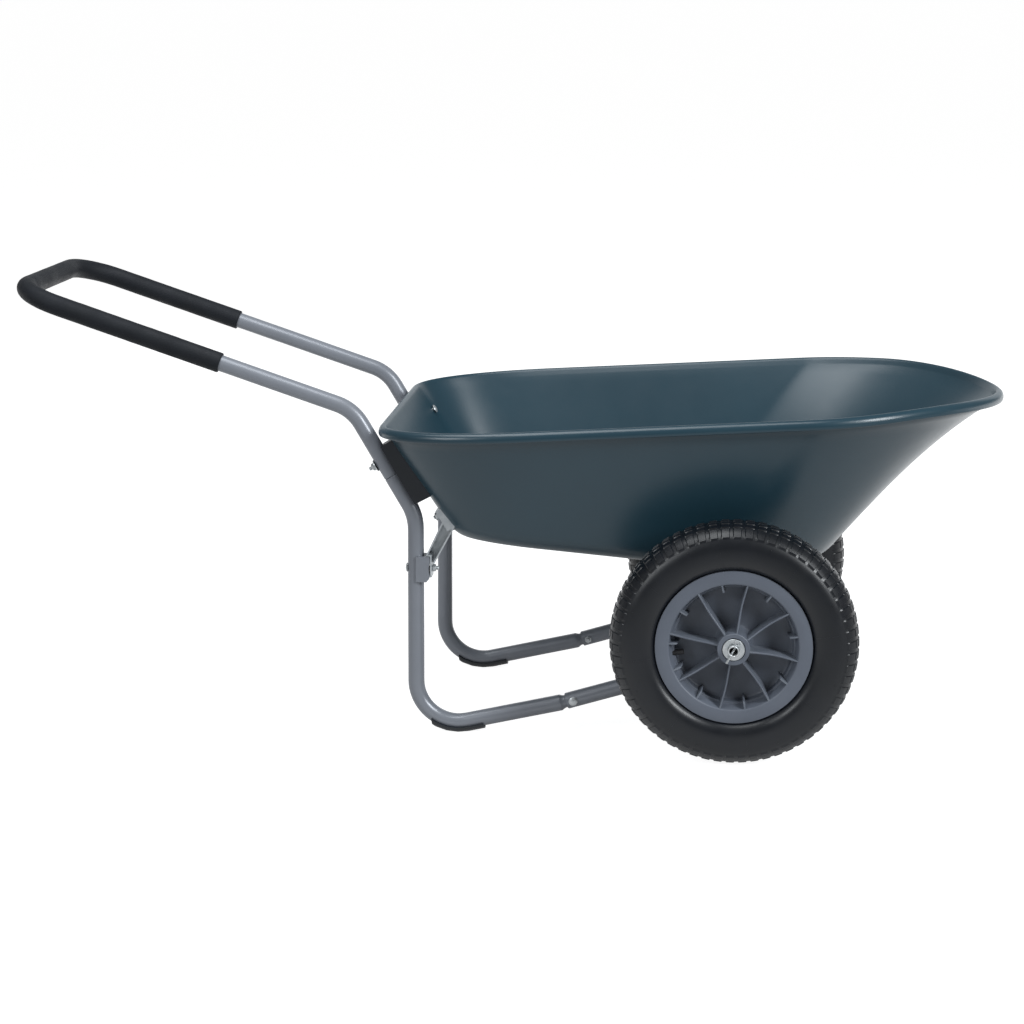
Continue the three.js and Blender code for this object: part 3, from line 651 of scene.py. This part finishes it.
tubeShape = {
    "side": 0.174,
    "radius": 0.012,
    "bore": 0.0104,
    "handleEndX": -0.7152,
    "handleBend": (-0.220, 0.4825),
    "handleSlope": -0.332,
    "legBend": (-0.128, 0.327),
    "footCorner": (-0.128, -0.0015),
    "lowerJoint": (0.095, 0.0515),
    "riseBend": (0.235, 0.095),
    "crossZ": 0.236,
    "bends": {"loop": 0.065, "handle": 0.065, "leg": 0.075, "foot": 0.062, "rise": 0.07, "cross": 0.06},
    "seam": 0.112,  # down the slope from the handle bend
    "seamGap": 0.0003,
    "jointGap": 0.0012,
    "edge": 0.0009,
    "openReach": 0.03,  # how far the bore is shown from an open end
    "around": 40,
    # the drawn-down ends of a leg: the neck starts before the joint, and the spigot goes past it
    "spigot": {
        "radius": 0.0094, "bore": 0.0082, "neck": 0.008, "past": 0.045, "bend": 0.15,
        "upperSpan": (-0.002, 0.05), "around": 32,
    },
    # (before the full width, radius) on the way out to full width
    "neckShape": [(0.0045, 0.0099), (0.0025, 0.0108), (0.0008, 0.0118)],
    "neckStart": 0.0065,
}
axleAt = {joint["child"]: Vector(joint["pos_m"]) for joint in frame["joints"]}
axleX, axleZ = axleAt["wheel_left"].x, axleAt["wheel_left"].z


def inSide(place, side=1):
    return Vector((place[0], tubeShape["side"] * side, place[1]))


def mirrored(points):
    return [Vector((p.x, -p.y, p.z)) for p in points]


slopeAlong = (inSide(tubeShape["legBend"]) - inSide(tubeShape["handleBend"])).normalized()
seamPoint = inSide(tubeShape["handleBend"]) + slopeAlong * tubeShape["seam"]
handleRise = tubeShape["handleSlope"] * (tubeShape["handleEndX"] - tubeShape["handleBend"][0])
handleEnd = (tubeShape["handleEndX"], tubeShape["handleBend"][1] + handleRise)
jointAlong = (inSide(tubeShape["riseBend"]) - inSide(tubeShape["lowerJoint"])).normalized()
riseAlong = Vector((axleX, 0, axleZ)) - Vector((tubeShape["riseBend"][0], 0, tubeShape["riseBend"][1]))
crossX = axleX + (tubeShape["crossZ"] - axleZ) * riseAlong.x / riseAlong.z


def openEnd():
    radius, bore, edge = tubeShape["radius"], tubeShape["bore"], tubeShape["edge"]
    reach = tubeShape["openReach"]
    return [(reach, bore), (edge, bore), (0, bore + edge), (0, radius - edge), (edge, radius)]


def makeLoop(name, node, side, radii):
    # a tube that is the same on the left and on the right
    route = bentRoute(side + mirrored(reversed(side)), radii + radii[::-1])
    tube = sweep(route, tubeShape["radius"], openEnd(), openEnd(), tubeShape["around"])
    makePiece(name, [tube], "frame", [node])


def makeHandleTube():
    side = [seamPoint, inSide(tubeShape["handleBend"]), inSide(handleEnd)]
    bends = tubeShape["bends"]
    makeLoop("handle_loop", "handle_tube", side, [bends["handle"], bends["loop"]])


def makeFrontFrame():
    side = [
        inSide(tubeShape["lowerJoint"]) + jointAlong * tubeShape["jointGap"],
        inSide(tubeShape["riseBend"]),
        inSide((crossX, tubeShape["crossZ"])),
    ]
    bends = tubeShape["bends"]
    makeLoop("front_loop", "front_frame", side, [bends["rise"], bends["cross"]])


def makeLeg(name, side):
    bends, spigot = tubeShape["bends"], tubeShape["spigot"]
    radius, edge = tubeShape["radius"], tubeShape["edge"]
    corners = [
        seamPoint + slopeAlong * tubeShape["seamGap"],
        inSide(tubeShape["legBend"]),
        inSide(tubeShape["footCorner"]),
        inSide(tubeShape["lowerJoint"]) - jointAlong * spigot["neck"],
        inSide(tubeShape["lowerJoint"]) + jointAlong * spigot["past"],
    ]
    route = bentRoute(corners, [bends["leg"], bends["foot"], spigot["bend"]])
    reach = spigot["past"] + spigot["neck"]
    start = [(tubeShape["openReach"], spigot["bore"]), (0, spigot["bore"])]
    start += [(0, radius - edge), (edge, radius)]
    drawn = [(0, spigot["radius"]), (reach - tubeShape["neckStart"], spigot["radius"])]
    drawn += [(reach - before, wide) for before, wide in tubeShape["neckShape"]] + [(reach, radius)]
    tube = sweep(route, radius, start, drawn, tubeShape["around"])
    low, high = spigot["upperSpan"]
    profile = [(0.0, low), (spigot["radius"], low), (spigot["radius"], high), (0.0, high)]
    meshes = [tube, lathe(profile, corners[0], -slopeAlong, spigot["around"])]
    if side < 0:
        meshes = [(mirrored(p), f) for p, f in meshes]
    makePiece("leg_" + name, meshes, "frame", ["leg_tube_" + name])


makeHandleTube()
makeFrontFrame()
for sideName, sideSign in sides.items():
    makeLeg(sideName, sideSign)
print("frame tubes made")

# ---- foam grip

foamShape = {
    "radius": 0.0148,
    "inner": 0.0121,
    "leftEndX": -0.459,
    "rightEndX": -0.414,
    "ripple": 0.00016,
    # noise size and share of each wave of the ripple
    "coarse": (55, 0.8),
    "fine": (190, 0.45),
    "fineShift": (3, 1, 7),
    "step": 0.0035,
    "bendStep": math.radians(4),
    "around": 48,
}


def onHandle(x):
    rise = tubeShape["handleSlope"] * (x - tubeShape["handleBend"][0])
    return (x, tubeShape["handleBend"][1] + rise)


def foamRipple(point, distance):
    (coarseSize, coarseShare), (fineSize, fineShare) = foamShape["coarse"], foamShape["fine"]
    coarse = noise.noise(point * coarseSize)
    fine = noise.noise(point * fineSize + Vector(foamShape["fineShift"]))
    return foamShape["ripple"] * (coarse * coarseShare + fine * fineShare)


def makeFoam():
    corners = [
        inSide(onHandle(foamShape["leftEndX"])),
        inSide(handleEnd),
        inSide(handleEnd, -1),
        inSide(onHandle(foamShape["rightEndX"]), -1),
    ]
    loop = tubeShape["bends"]["loop"]
    route = bentRoute(corners, [loop, loop], foamShape["bendStep"])
    radius, inner = foamShape["radius"], foamShape["inner"]
    ends = [
        (0.02, inner), (0.0006, inner), (0, inner + 0.0005), (0, radius - 0.0012),
        (0.0004, radius - 0.0004), (0.0013, radius),
    ]
    sleeve = sweep(route, radius, ends, ends, foamShape["around"], foamShape["step"], foamRipple)
    piece = makePiece("foam_sleeve", [sleeve], "frame", ["foam_grip"], 50)


makeFoam()
print("foam grip made")

# ---- wheels

tyreShape = {
    "pitches": 62,
    "segmentsPerPitch": (0.0, 0.08, 0.13, 0.40, 0.67, 0.72, 0.80, 0.92),
    "lugDepth": 0.0014,
    "shoulderDepth": 0.0012,
    "shoulderSpan": (20, 36),  # half widths in mm between which a block turns to face sideways
    "shoulderShare": 0.65,
    # where each row of blocks starts and ends, in shares of one pitch
    "blocks": {
        "shoulder": (0.10, 0.79), "outer": (0.10, 0.79), "inner": (0.10, 0.71),
        "centre": (0.10, 0.79), "groove": (2, 3),
    },
    # radius and half width of the outer skin, from the bead out to the shoulder, in mm
    "sidewall": [
        (101.6, 20), (101.6, 28.4), (106, 29), (111.2, 29.3), (111.8, 30.2), (112.6, 31.8),
        (114.0, 34.0), (116.4, 36.6), (119.6, 38.8), (123.5, 40.4), (128, 41.3), (133, 41.7),
        (138, 41.8), (143, 41.6), (148, 40.9), (152, 39.7), (155, 38.4), (156.4, 37.6),
    ],
    # the lugged shoulder and the crown: radius, half width, and which row of blocks it is on
    "tread": [
        (157.0, 37.3, "groove"), (157.6, 37.0, "groove"), (160.2, 35.2, "shoulder"),
        (163.2, 32.5, "shoulder"), (165.6, 29.9, "shoulder"), (167.8, 27.0, "shoulder"),
        (169.4, 24.6, "shoulder"), (169.9, 23.8, "groove"), (170.6, 22.4, "groove"),
        (171.0, 21.7, "outer"), (172.2, 19.0, "outer"), (173.3, 15.6, "outer"),
        (173.6, 14.8, "groove"), (174.1, 13.2, "groove"), (174.3, 12.5, "inner"),
        (174.9, 9.4, "inner"), (175.2, 6.0, "inner"), (175.2, 5.3, "groove"),
        (175.3, 3.8, "groove"), (175.3, 3.1, "centre"), (175.35, 0.0, "centre"),
    ],
    "inside": [(103, -12), (120, -30), (143, -36.5), (160, -31), (168, -13)],
}
# thin raised lines on the sidewall, with a vent nub between two of them
mouldShape = {
    "count": 8,
    "first": math.radians(9),
    "halfThick": 0.00035,
    "raised": 0.00022,
    "sunk": 0.0006,
    "spots": [
        (0.1164, 0.0366), (0.1196, 0.0388), (0.1235, 0.0404), (0.1280, 0.0413), (0.1330, 0.0417),
        (0.1380, 0.0418), (0.1430, 0.0416), (0.1480, 0.0409), (0.1520, 0.0397),
    ],
    "nubTurn": 0.3,
    "nubAt": (0.1510, 0.0399),
    "nub": [(0.0007, 0), (0.0006, 0.0009), (0.0003, 0.0012)],
}
# radius and half width of the moulded rim, from the hub out to the flange, in mm
rimHalf = [
    (12.8, 41.3), (16.4, 41.3), (16.7, 41.6), (16.7, 43.2), (17.1, 43.5), (22.2, 43.5),
    (23, 42.8), (23.3, 30), (23.8, 12), (25.0, 6.6), (27.6, 3.6), (31, 2.6), (45, 2.5),
    (78, 2.5), (81.5, 3.2), (83.2, 4.6), (83.8, 7.2), (84.2, 15.0), (84.8, 15.8),
    (86.6, 16.2), (87.4, 17.2), (90.6, 30.6), (91.2, 32.4), (92.2, 33.4), (93.6, 33.8),
    (109.6, 33.8), (110.7, 33.4), (111, 32.4), (111, 29.6), (110.4, 29.45), (101, 29.45),
]
wheelRibs = {
    "count": 8,
    "first": math.radians(34),
    "thick": 0.0022,
    "swirl": math.radians(1.6),
    "shortFirst": math.radians(11.5),
    "valve": math.radians(190),
    "valveRoom": math.radians(20),  # a short rib this near the valve gives way to two
    "besideValve": (math.radians(-12), math.radians(13)),
    # radius, height and share of the swirl
    "long": [
        (0.0215, 0.0395, 0.0), (0.030, 0.0370, 0.3), (0.040, 0.0345, 0.7), (0.052, 0.0325, 1.0),
        (0.064, 0.0316, 0.9), (0.076, 0.0319, 0.5), (0.086, 0.0326, 0.15), (0.0925, 0.0330, 0.0),
    ],
    "short": [(0.0925, 0.0328), (0.086, 0.0325), (0.080, 0.0300), (0.0785, 0.022), (0.0765, 0.002)],
    "round": 0.0003,
    "foot": 0.001,
}


def blockHeight(row, fraction):
    # how far a block stands out, from 0 to 1, at a fraction of one pitch
    low, high = tyreShape["blocks"][row]
    return 1.0 if low <= fraction <= high else 0.0


def wheelPoint(centre, outward, angle, radius, width):
    return centre + Vector((math.cos(angle), 0, math.sin(angle))) * radius + outward * width


def tyreSkin(centre, outward):
    angles = []
    for k in range(tyreShape["pitches"]):
        for fraction in tyreShape["segmentsPerPitch"]:
            angles.append((2 * math.pi * (k + fraction) / tyreShape["pitches"], fraction))
    rows = [(r, y, None) for r, y in tyreShape["sidewall"]] + list(tyreShape["tread"])
    rows += [(r, -y, row) for r, y, row in reversed(rows[:-1])]
    inside = tyreShape["inside"]
    rows += [(r, y, None) for r, y in inside]
    rows += [(r, -y, None) for r, y in reversed(inside)]
    rings = []
    for r, y, row in rows:
        ring = []
        for angle, fraction in angles:
            radius, width = r * mm, y * mm
            if row:
                lift = blockHeight(row, fraction)
                slope = smoothStep(abs(y), *tyreShape["shoulderSpan"])
                radius += lift * tyreShape["lugDepth"] * (1 - slope * tyreShape["shoulderShare"])
                width += math.copysign(lift * tyreShape["shoulderDepth"] * slope, y)
            ring.append(wheelPoint(centre, outward, angle, radius, width))
        rings.append(ring)
    return loft(rings, closed=True)


def mouldLines(centre, outward):
    meshes = []
    for k in range(mouldShape["count"]):
        angle = mouldShape["first"] + 2 * math.pi * k / mouldShape["count"]
        rings = []
        for radius, width in mouldShape["spots"]:
            half = mouldShape["halfThick"] / radius
            low, high = width - mouldShape["sunk"], width + mouldShape["raised"]
            rings.append([
                wheelPoint(centre, outward, angle + turn, radius, at)
                for turn, at in ((-half, low), (-half, high), (half, high), (half, low))
            ])
        meshes.append(loft(rings))
        nub = wheelPoint(centre, outward, angle + mouldShape["nubTurn"], *mouldShape["nubAt"])
        meshes.append(lathe(mouldShape["nub"], nub, outward, 10))
    return meshes


def rimSkin(centre, outward):
    profile = rimHalf + [(r, -y) for r, y in reversed(rimHalf)]
    return lathe([(r * mm, y * mm) for r, y in profile], centre, outward, 128, closed=True)


def longRib(centre, outward, angle):
    # a thin wall from hub to flange, lower and slightly turned in the middle of its run
    rings = []
    for radius, height, swirl in wheelRibs["long"]:
        middle = angle + wheelRibs["swirl"] * swirl
        half = wheelRibs["thick"] / 2 / radius
        foot, shoulder = wheelRibs["foot"], height - wheelRibs["round"]
        rings.append([
            wheelPoint(centre, outward, middle + half * turn, radius, at)
            for turn, at in (
                (-1.5, foot), (-1, shoulder), (-0.6, height), (0.6, height), (1, shoulder), (1.5, foot),
            )
        ])
    return loft(rings)


def shortRib(centre, outward, angle):
    rings = []
    for radius, height in wheelRibs["short"]:
        half = wheelRibs["thick"] / 2 / radius
        rings.append([
            wheelPoint(centre, outward, angle + half * turn, radius, at)
            for turn, at in ((-1.3, 0.0), (-1, height), (1, height), (1.3, 0.0))
        ])
    return loft(rings)


def shortRibAngles():
    angles = []
    for k in range(wheelRibs["count"]):
        angle = wheelRibs["shortFirst"] + 2 * math.pi * k / wheelRibs["count"]
        if abs(angle - wheelRibs["valve"]) < wheelRibs["valveRoom"]:
            angles += [wheelRibs["valve"] + turn for turn in wheelRibs["besideValve"]]
        else:
            angles.append(angle)
    return angles


def makeWheel(name, side):
    body = "wheel_" + name
    centre = axleAt[body]
    outward = leftward * side
    skin = [tyreSkin(centre, outward)]
    skin += mouldLines(centre, outward) + mouldLines(centre, -outward)
    makePiece("tyre_skin_" + name, skin, body, ["tyre_" + name], 30)
    meshes = [rimSkin(centre, outward)]
    for face in (outward, -outward):
        for k in range(wheelRibs["count"]):
            angle = wheelRibs["first"] + 2 * math.pi * k / wheelRibs["count"]
            meshes.append(longRib(centre, face, angle))
        meshes += [shortRib(centre, face, angle) for angle in shortRibAngles()]
    makePiece("wheel_rim_" + name, meshes, body, ["rim_" + name], 30)


for sideName, sideSign in sides.items():
    makeWheel(sideName, sideSign)
print("wheels made")

# ---- fasteners, each made about the axis of its CAD node

fastenerSizes = {
    "headRadius": 0.0068,
    "headHeight": 0.0031,
    "shank": 0.00295,
    "headEdge": 0.0002,
    "headCurve": math.radians(80),
    "headSteps": 8,
    "nutAcross": 0.0098,
    "thread": 0.001,
    "threadDepth": 0.0004,
    "tipDepth": 0.0006,
    "threadMost": 0.02,
    "threadShare": 0.6,  # of what sticks out from under the head
    "outsideShank": 0.0045,  # CAD points further out than this are on the head
    "onHeadRim": 0.0065,
    # outer and inner radius
    "tubWasher": (0.0089, 0.0034),
    "axleWasher": (0.0155, 0.0083),
    "washerEdge": 0.0003,
    # (share of half the height, share of the width, how six-sided) round a nut
    "nutShape": [
        (-1, 0.93, 0.0), (-0.8, 0.995, 0.6), (-0.65, 1, 1), (0.65, 1, 1), (0.8, 0.995, 0.6),
        (1, 0.93, 0.0), (1, 0.66, 0.0), (-1, 0.66, 0.0),
    ],
    "nutAround": 36,
}


def axisOf(node, thin):
    # middle and axis of a round or six-sided node; thin is True for nuts and washers
    points = np.array([v.co for v in nodes[node].data.vertices])
    spread = points - points.mean(0)
    _, _, directions = np.linalg.svd(spread, full_matrices=False)
    along = Vector(directions[2 if thin else 0]).normalized()
    reach = spread @ np.array(along)
    away = np.linalg.norm(spread - np.outer(reach, np.array(along)), axis=1)
    return Vector(points.mean(0)), along, reach, away


def makeBolt(node):
    size = fastenerSizes
    middle, along, reach, away = axisOf(node, False)
    if reach[away > size["outsideShank"]].mean() > 0:
        along = -along
        reach = -reach
    rim = reach[away > size["onHeadRim"]].max()
    tip = reach.max()
    radius, height, shank = size["headRadius"], size["headHeight"], size["shank"]
    edge, curve, pitch = size["headEdge"], size["headCurve"], size["thread"]
    profile = [(0.0005, rim - height)]
    for k in range(1, size["headSteps"] + 1):
        a = k / size["headSteps"] * curve
        profile.append((radius * math.sin(a) / math.sin(curve), rim - height * math.cos(a)))
    profile += [(radius, rim - edge), (radius - edge, rim), (shank, rim)]
    turns = int(min(size["threadMost"], (tip - rim) * size["threadShare"]) / pitch)
    start = tip - turns * pitch
    profile.append((shank, start))
    for k in range(turns):
        profile.append((shank - size["threadDepth"], start + (k + 0.5) * pitch))
        last = size["tipDepth"] if k == turns - 1 else 0
        profile.append((shank - last, start + (k + 1) * pitch))
    screw = lathe(profile, middle, along, 32)
    makePiece(node.replace("bolt", "screw"), [screw], "frame", [node], 30)


def hexRing(centre, first, second, across, blend):
    # a six-sided ring whose corners are rounded to the flats as blend goes to 0
    ring = []
    count = fastenerSizes["nutAround"]
    for i in range(count):
        a = 2 * math.pi * i / count
        flat = across / 2 / math.cos((a + math.pi / 6) % (math.pi / 3) - math.pi / 6)
        out = first * math.cos(a) + second * math.sin(a)
        ring.append(centre + out * (across / 2 + (flat - across / 2) * blend))
    return ring


def makeNut(node):
    middle, along, reach, _ = axisOf(node, True)
    first, second = crossways(along)
    across = fastenerSizes["nutAcross"]
    half = (reach.max() - reach.min()) / 2
    rings = [
        hexRing(middle + along * half * share, first, second, across * width, blend)
        for share, width, blend in fastenerSizes["nutShape"]
    ]
    makePiece("hex_" + node, [loft(rings, closed=True)], "frame", [node], 30)


def makeWasher(node, outer, inner):
    middle, along, reach, _ = axisOf(node, True)
    half = (reach.max() - reach.min()) / 2
    edge = fastenerSizes["washerEdge"]
    profile = [
        (inner, -half + edge), (inner + edge, -half), (outer - edge, -half), (outer, -half + edge),
        (outer, half - edge), (outer - edge, half), (inner + edge, half), (inner, half - edge),
    ]
    washer = lathe(profile, middle, along, 64, closed=True)
    makePiece("round_" + node, [washer], "frame", [node], 30)


for sideName in sides:
    for kind in ("tub", "bracket", "brace", "joint", "front"):
        makeBolt(kind + "_bolt_" + sideName)
        makeNut(kind + "_nut_" + sideName)
    makeWasher("tub_washer_" + sideName, *fastenerSizes["tubWasher"])
    makeWasher("axle_washer_" + sideName, *fastenerSizes["axleWasher"])
print("fasteners made")

# ---- axle and its split pins

axleShape = {
    "radius": 0.008,
    "bore": 0.0062,
    "edge": 0.0004,
    "pinAngle": math.radians(63),
    "pinRadius": 0.0015,
    "pinTail": 0.0215,  # from the axle's middle to the end of the two legs
    "pinNeck": 0.0085,  # and to where the eye starts
    "eyeLength": 0.0078,
    "eyeWidth": 0.0036,
    "eyeSteps": 7,
}


def makeAxle():
    low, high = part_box("axle")
    length = high.y - low.y
    radius, bore, edge = axleShape["radius"], axleShape["bore"], axleShape["edge"]
    profile = [
        (bore, edge), (bore + edge, 0), (radius - edge, 0), (radius, edge),
        (radius, length - edge), (radius - edge, length), (bore + edge, length), (bore, length - edge),
    ]
    bar = lathe(profile, Vector((axleX, low.y, axleZ)), leftward, 64, closed=True)
    makePiece("axle_bar", [bar], "frame", ["axle"], 30)


def makeSplitPin(name):
    low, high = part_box("cotter_pin_" + name)
    lean = Vector((math.cos(axleShape["pinAngle"]), 0, math.sin(axleShape["pinAngle"])))
    across = leftward.cross(lean)
    centre = Vector((axleX, (low.y + high.y) / 2, axleZ))
    size, neck, steps = axleShape["pinRadius"], axleShape["pinNeck"], axleShape["eyeSteps"]
    meshes = []
    for half in (-1, 1):
        leg = centre + across * half * size * 0.5
        route = [leg - lean * axleShape["pinTail"], leg + lean * neck]
        for k in range(1, steps + 1):
            a = math.pi * k / steps
            bulge = axleShape["eyeWidth"] * math.sin(a)
            rise = neck + axleShape["eyeLength"] * (1 - math.cos(a)) / 2
            route.append(centre + across * half * bulge + lean * rise)
        ends = [(0, size * 0.2), (0.0003, size * 0.5)]
        meshes.append(sweep(route, size * 0.55, ends, ends, 14))
    makePiece("split_pin_" + name, meshes, "frame", ["cotter_pin_" + name], 40)


makeAxle()
for sideName in sides:
    makeSplitPin(sideName)
print("axle made")

# ---- floor and lights

studio = {
    "floorColour": "b0b0b0",
    "floorRoughness": 0.9,
    "floorSpecular": 0.1,
    "floorReach": 400,
    # how bright it looks to the camera, in reflections, and as a source of light
    "floorGlow": (0.92, 2.0, 0.0),
    # shares of the reflected glow: close by, fading out between two distances from the middle,
    # and beyond the barrow, coming in between two distances to its left
    "nearGlow": 0.17,
    "glowReach": (0.7, 1.5),
    "farGlow": 0.6,
    "farReach": (0.25, 1.1),
    "lightTint": (0.94, 0.975, 1.0),
    "worldGlow": (1.0, 0.2, 0.16),
    "lights": [
        # name, place, aims at, width, height, power
        ("topPanel", (-0.5, -0.5, 3.0), (0.1, 0, 0.3), 2.4, 1.5, 54),
        ("frontLeftPanel", (-2.6, -3.0, 2.2), (0.1, 0, 0.35), 1.4, 1.6, 52),
        ("frontRightPanel", (3.3, -2.3, 2.5), (0.1, 0, 0.35), 0.9, 2.1, 150),
        ("backPanel", (0.1, 3.6, 1.2), (0.1, 0, 0.5), 6.0, 2.0, 26),
    ],
}


def glowFor(tree, values, near=None):
    # one value each for the camera, for reflections, and for all other light
    seen, reflected, other = values
    path = addNode(tree, "ShaderNodeLightPath")
    glossy = path.outputs["Is Glossy Ray"]
    if near:
        glossy = addMath(tree, "MULTIPLY", glossy, near)
    mirrorOrOther = addRange(tree, glossy, 0, 1, other, reflected)
    return addRange(tree, path.outputs["Is Camera Ray"], 0, 1, mirrorOrOther, seen)


def makeFloor():
    mesh = bpy.data.meshes.new("floor")
    reach = studio["floorReach"]
    corners = [(-reach, -reach, 0), (reach, -reach, 0), (reach, reach, 0), (-reach, reach, 0)]
    mesh.from_pydata(corners, [], [(0, 1, 2, 3)])
    floor = bpy.data.objects.new("floor", mesh)
    scene.collection.objects.link(floor)
    paper = bpy.data.materials.new("paperSweep")
    paper.use_nodes = True
    tree = paper.node_tree
    shader = tree.nodes["Principled BSDF"]
    shader.inputs["Base Color"].default_value = linear(studio["floorColour"])
    shader.inputs["Roughness"].default_value = studio["floorRoughness"]
    shader.inputs["Specular IOR Level"].default_value = studio["floorSpecular"]
    shader.inputs["Emission Color"].default_value = (1, 1, 1, 1)
    place = addNode(tree, "ShaderNodeTexCoord").outputs["Object"]
    away = addNode(tree, "ShaderNodeVectorMath", operation="LENGTH")
    link(tree, place, away.inputs[0])
    close, far = studio["glowReach"]
    near = addRange(tree, away.outputs["Value"], close, far, studio["nearGlow"], 0)
    parts = addNode(tree, "ShaderNodeSeparateXYZ")
    link(tree, place, parts.inputs[0])
    first, last = studio["farReach"]
    beyond = addRange(tree, parts.outputs["Y"], first, last, 0, studio["farGlow"])
    glow = glowFor(tree, studio["floorGlow"], addMath(tree, "ADD", near, beyond))
    link(tree, glow, shader.inputs["Emission Strength"])
    backfacing = addNode(tree, "ShaderNodeNewGeometry").outputs["Backfacing"]
    link(tree, addMath(tree, "SUBTRACT", 1.0, backfacing), shader.inputs["Alpha"])
    paper.cycles.emission_sampling = "NONE"
    mesh.materials.append(paper)


def makeLights():
    world = bpy.data.worlds.new("studio")
    world.use_nodes = True
    background = world.node_tree.nodes["Background"]
    background.inputs["Color"].default_value = (1, 1, 1, 1)
    strength = glowFor(world.node_tree, studio["worldGlow"])
    link(world.node_tree, strength, background.inputs["Strength"])
    scene.world = world
    for name, place, target, width, height, power in studio["lights"]:
        lamp = bpy.data.lights.new(name, "AREA")
        lamp.shape = "RECTANGLE"
        lamp.energy = power
        lamp.color = studio["lightTint"]
        lamp.size = width
        lamp.size_y = height
        panel = bpy.data.objects.new(name, lamp)
        panel.visible_camera = False
        panel.location = place
        aim = Vector(target) - Vector(place)
        panel.rotation_euler = aim.to_track_quat("-Z", "Y").to_euler()
        scene.collection.objects.link(panel)


scene.view_settings.view_transform = "Standard"
makeFloor()
makeLights()
print("studio made")
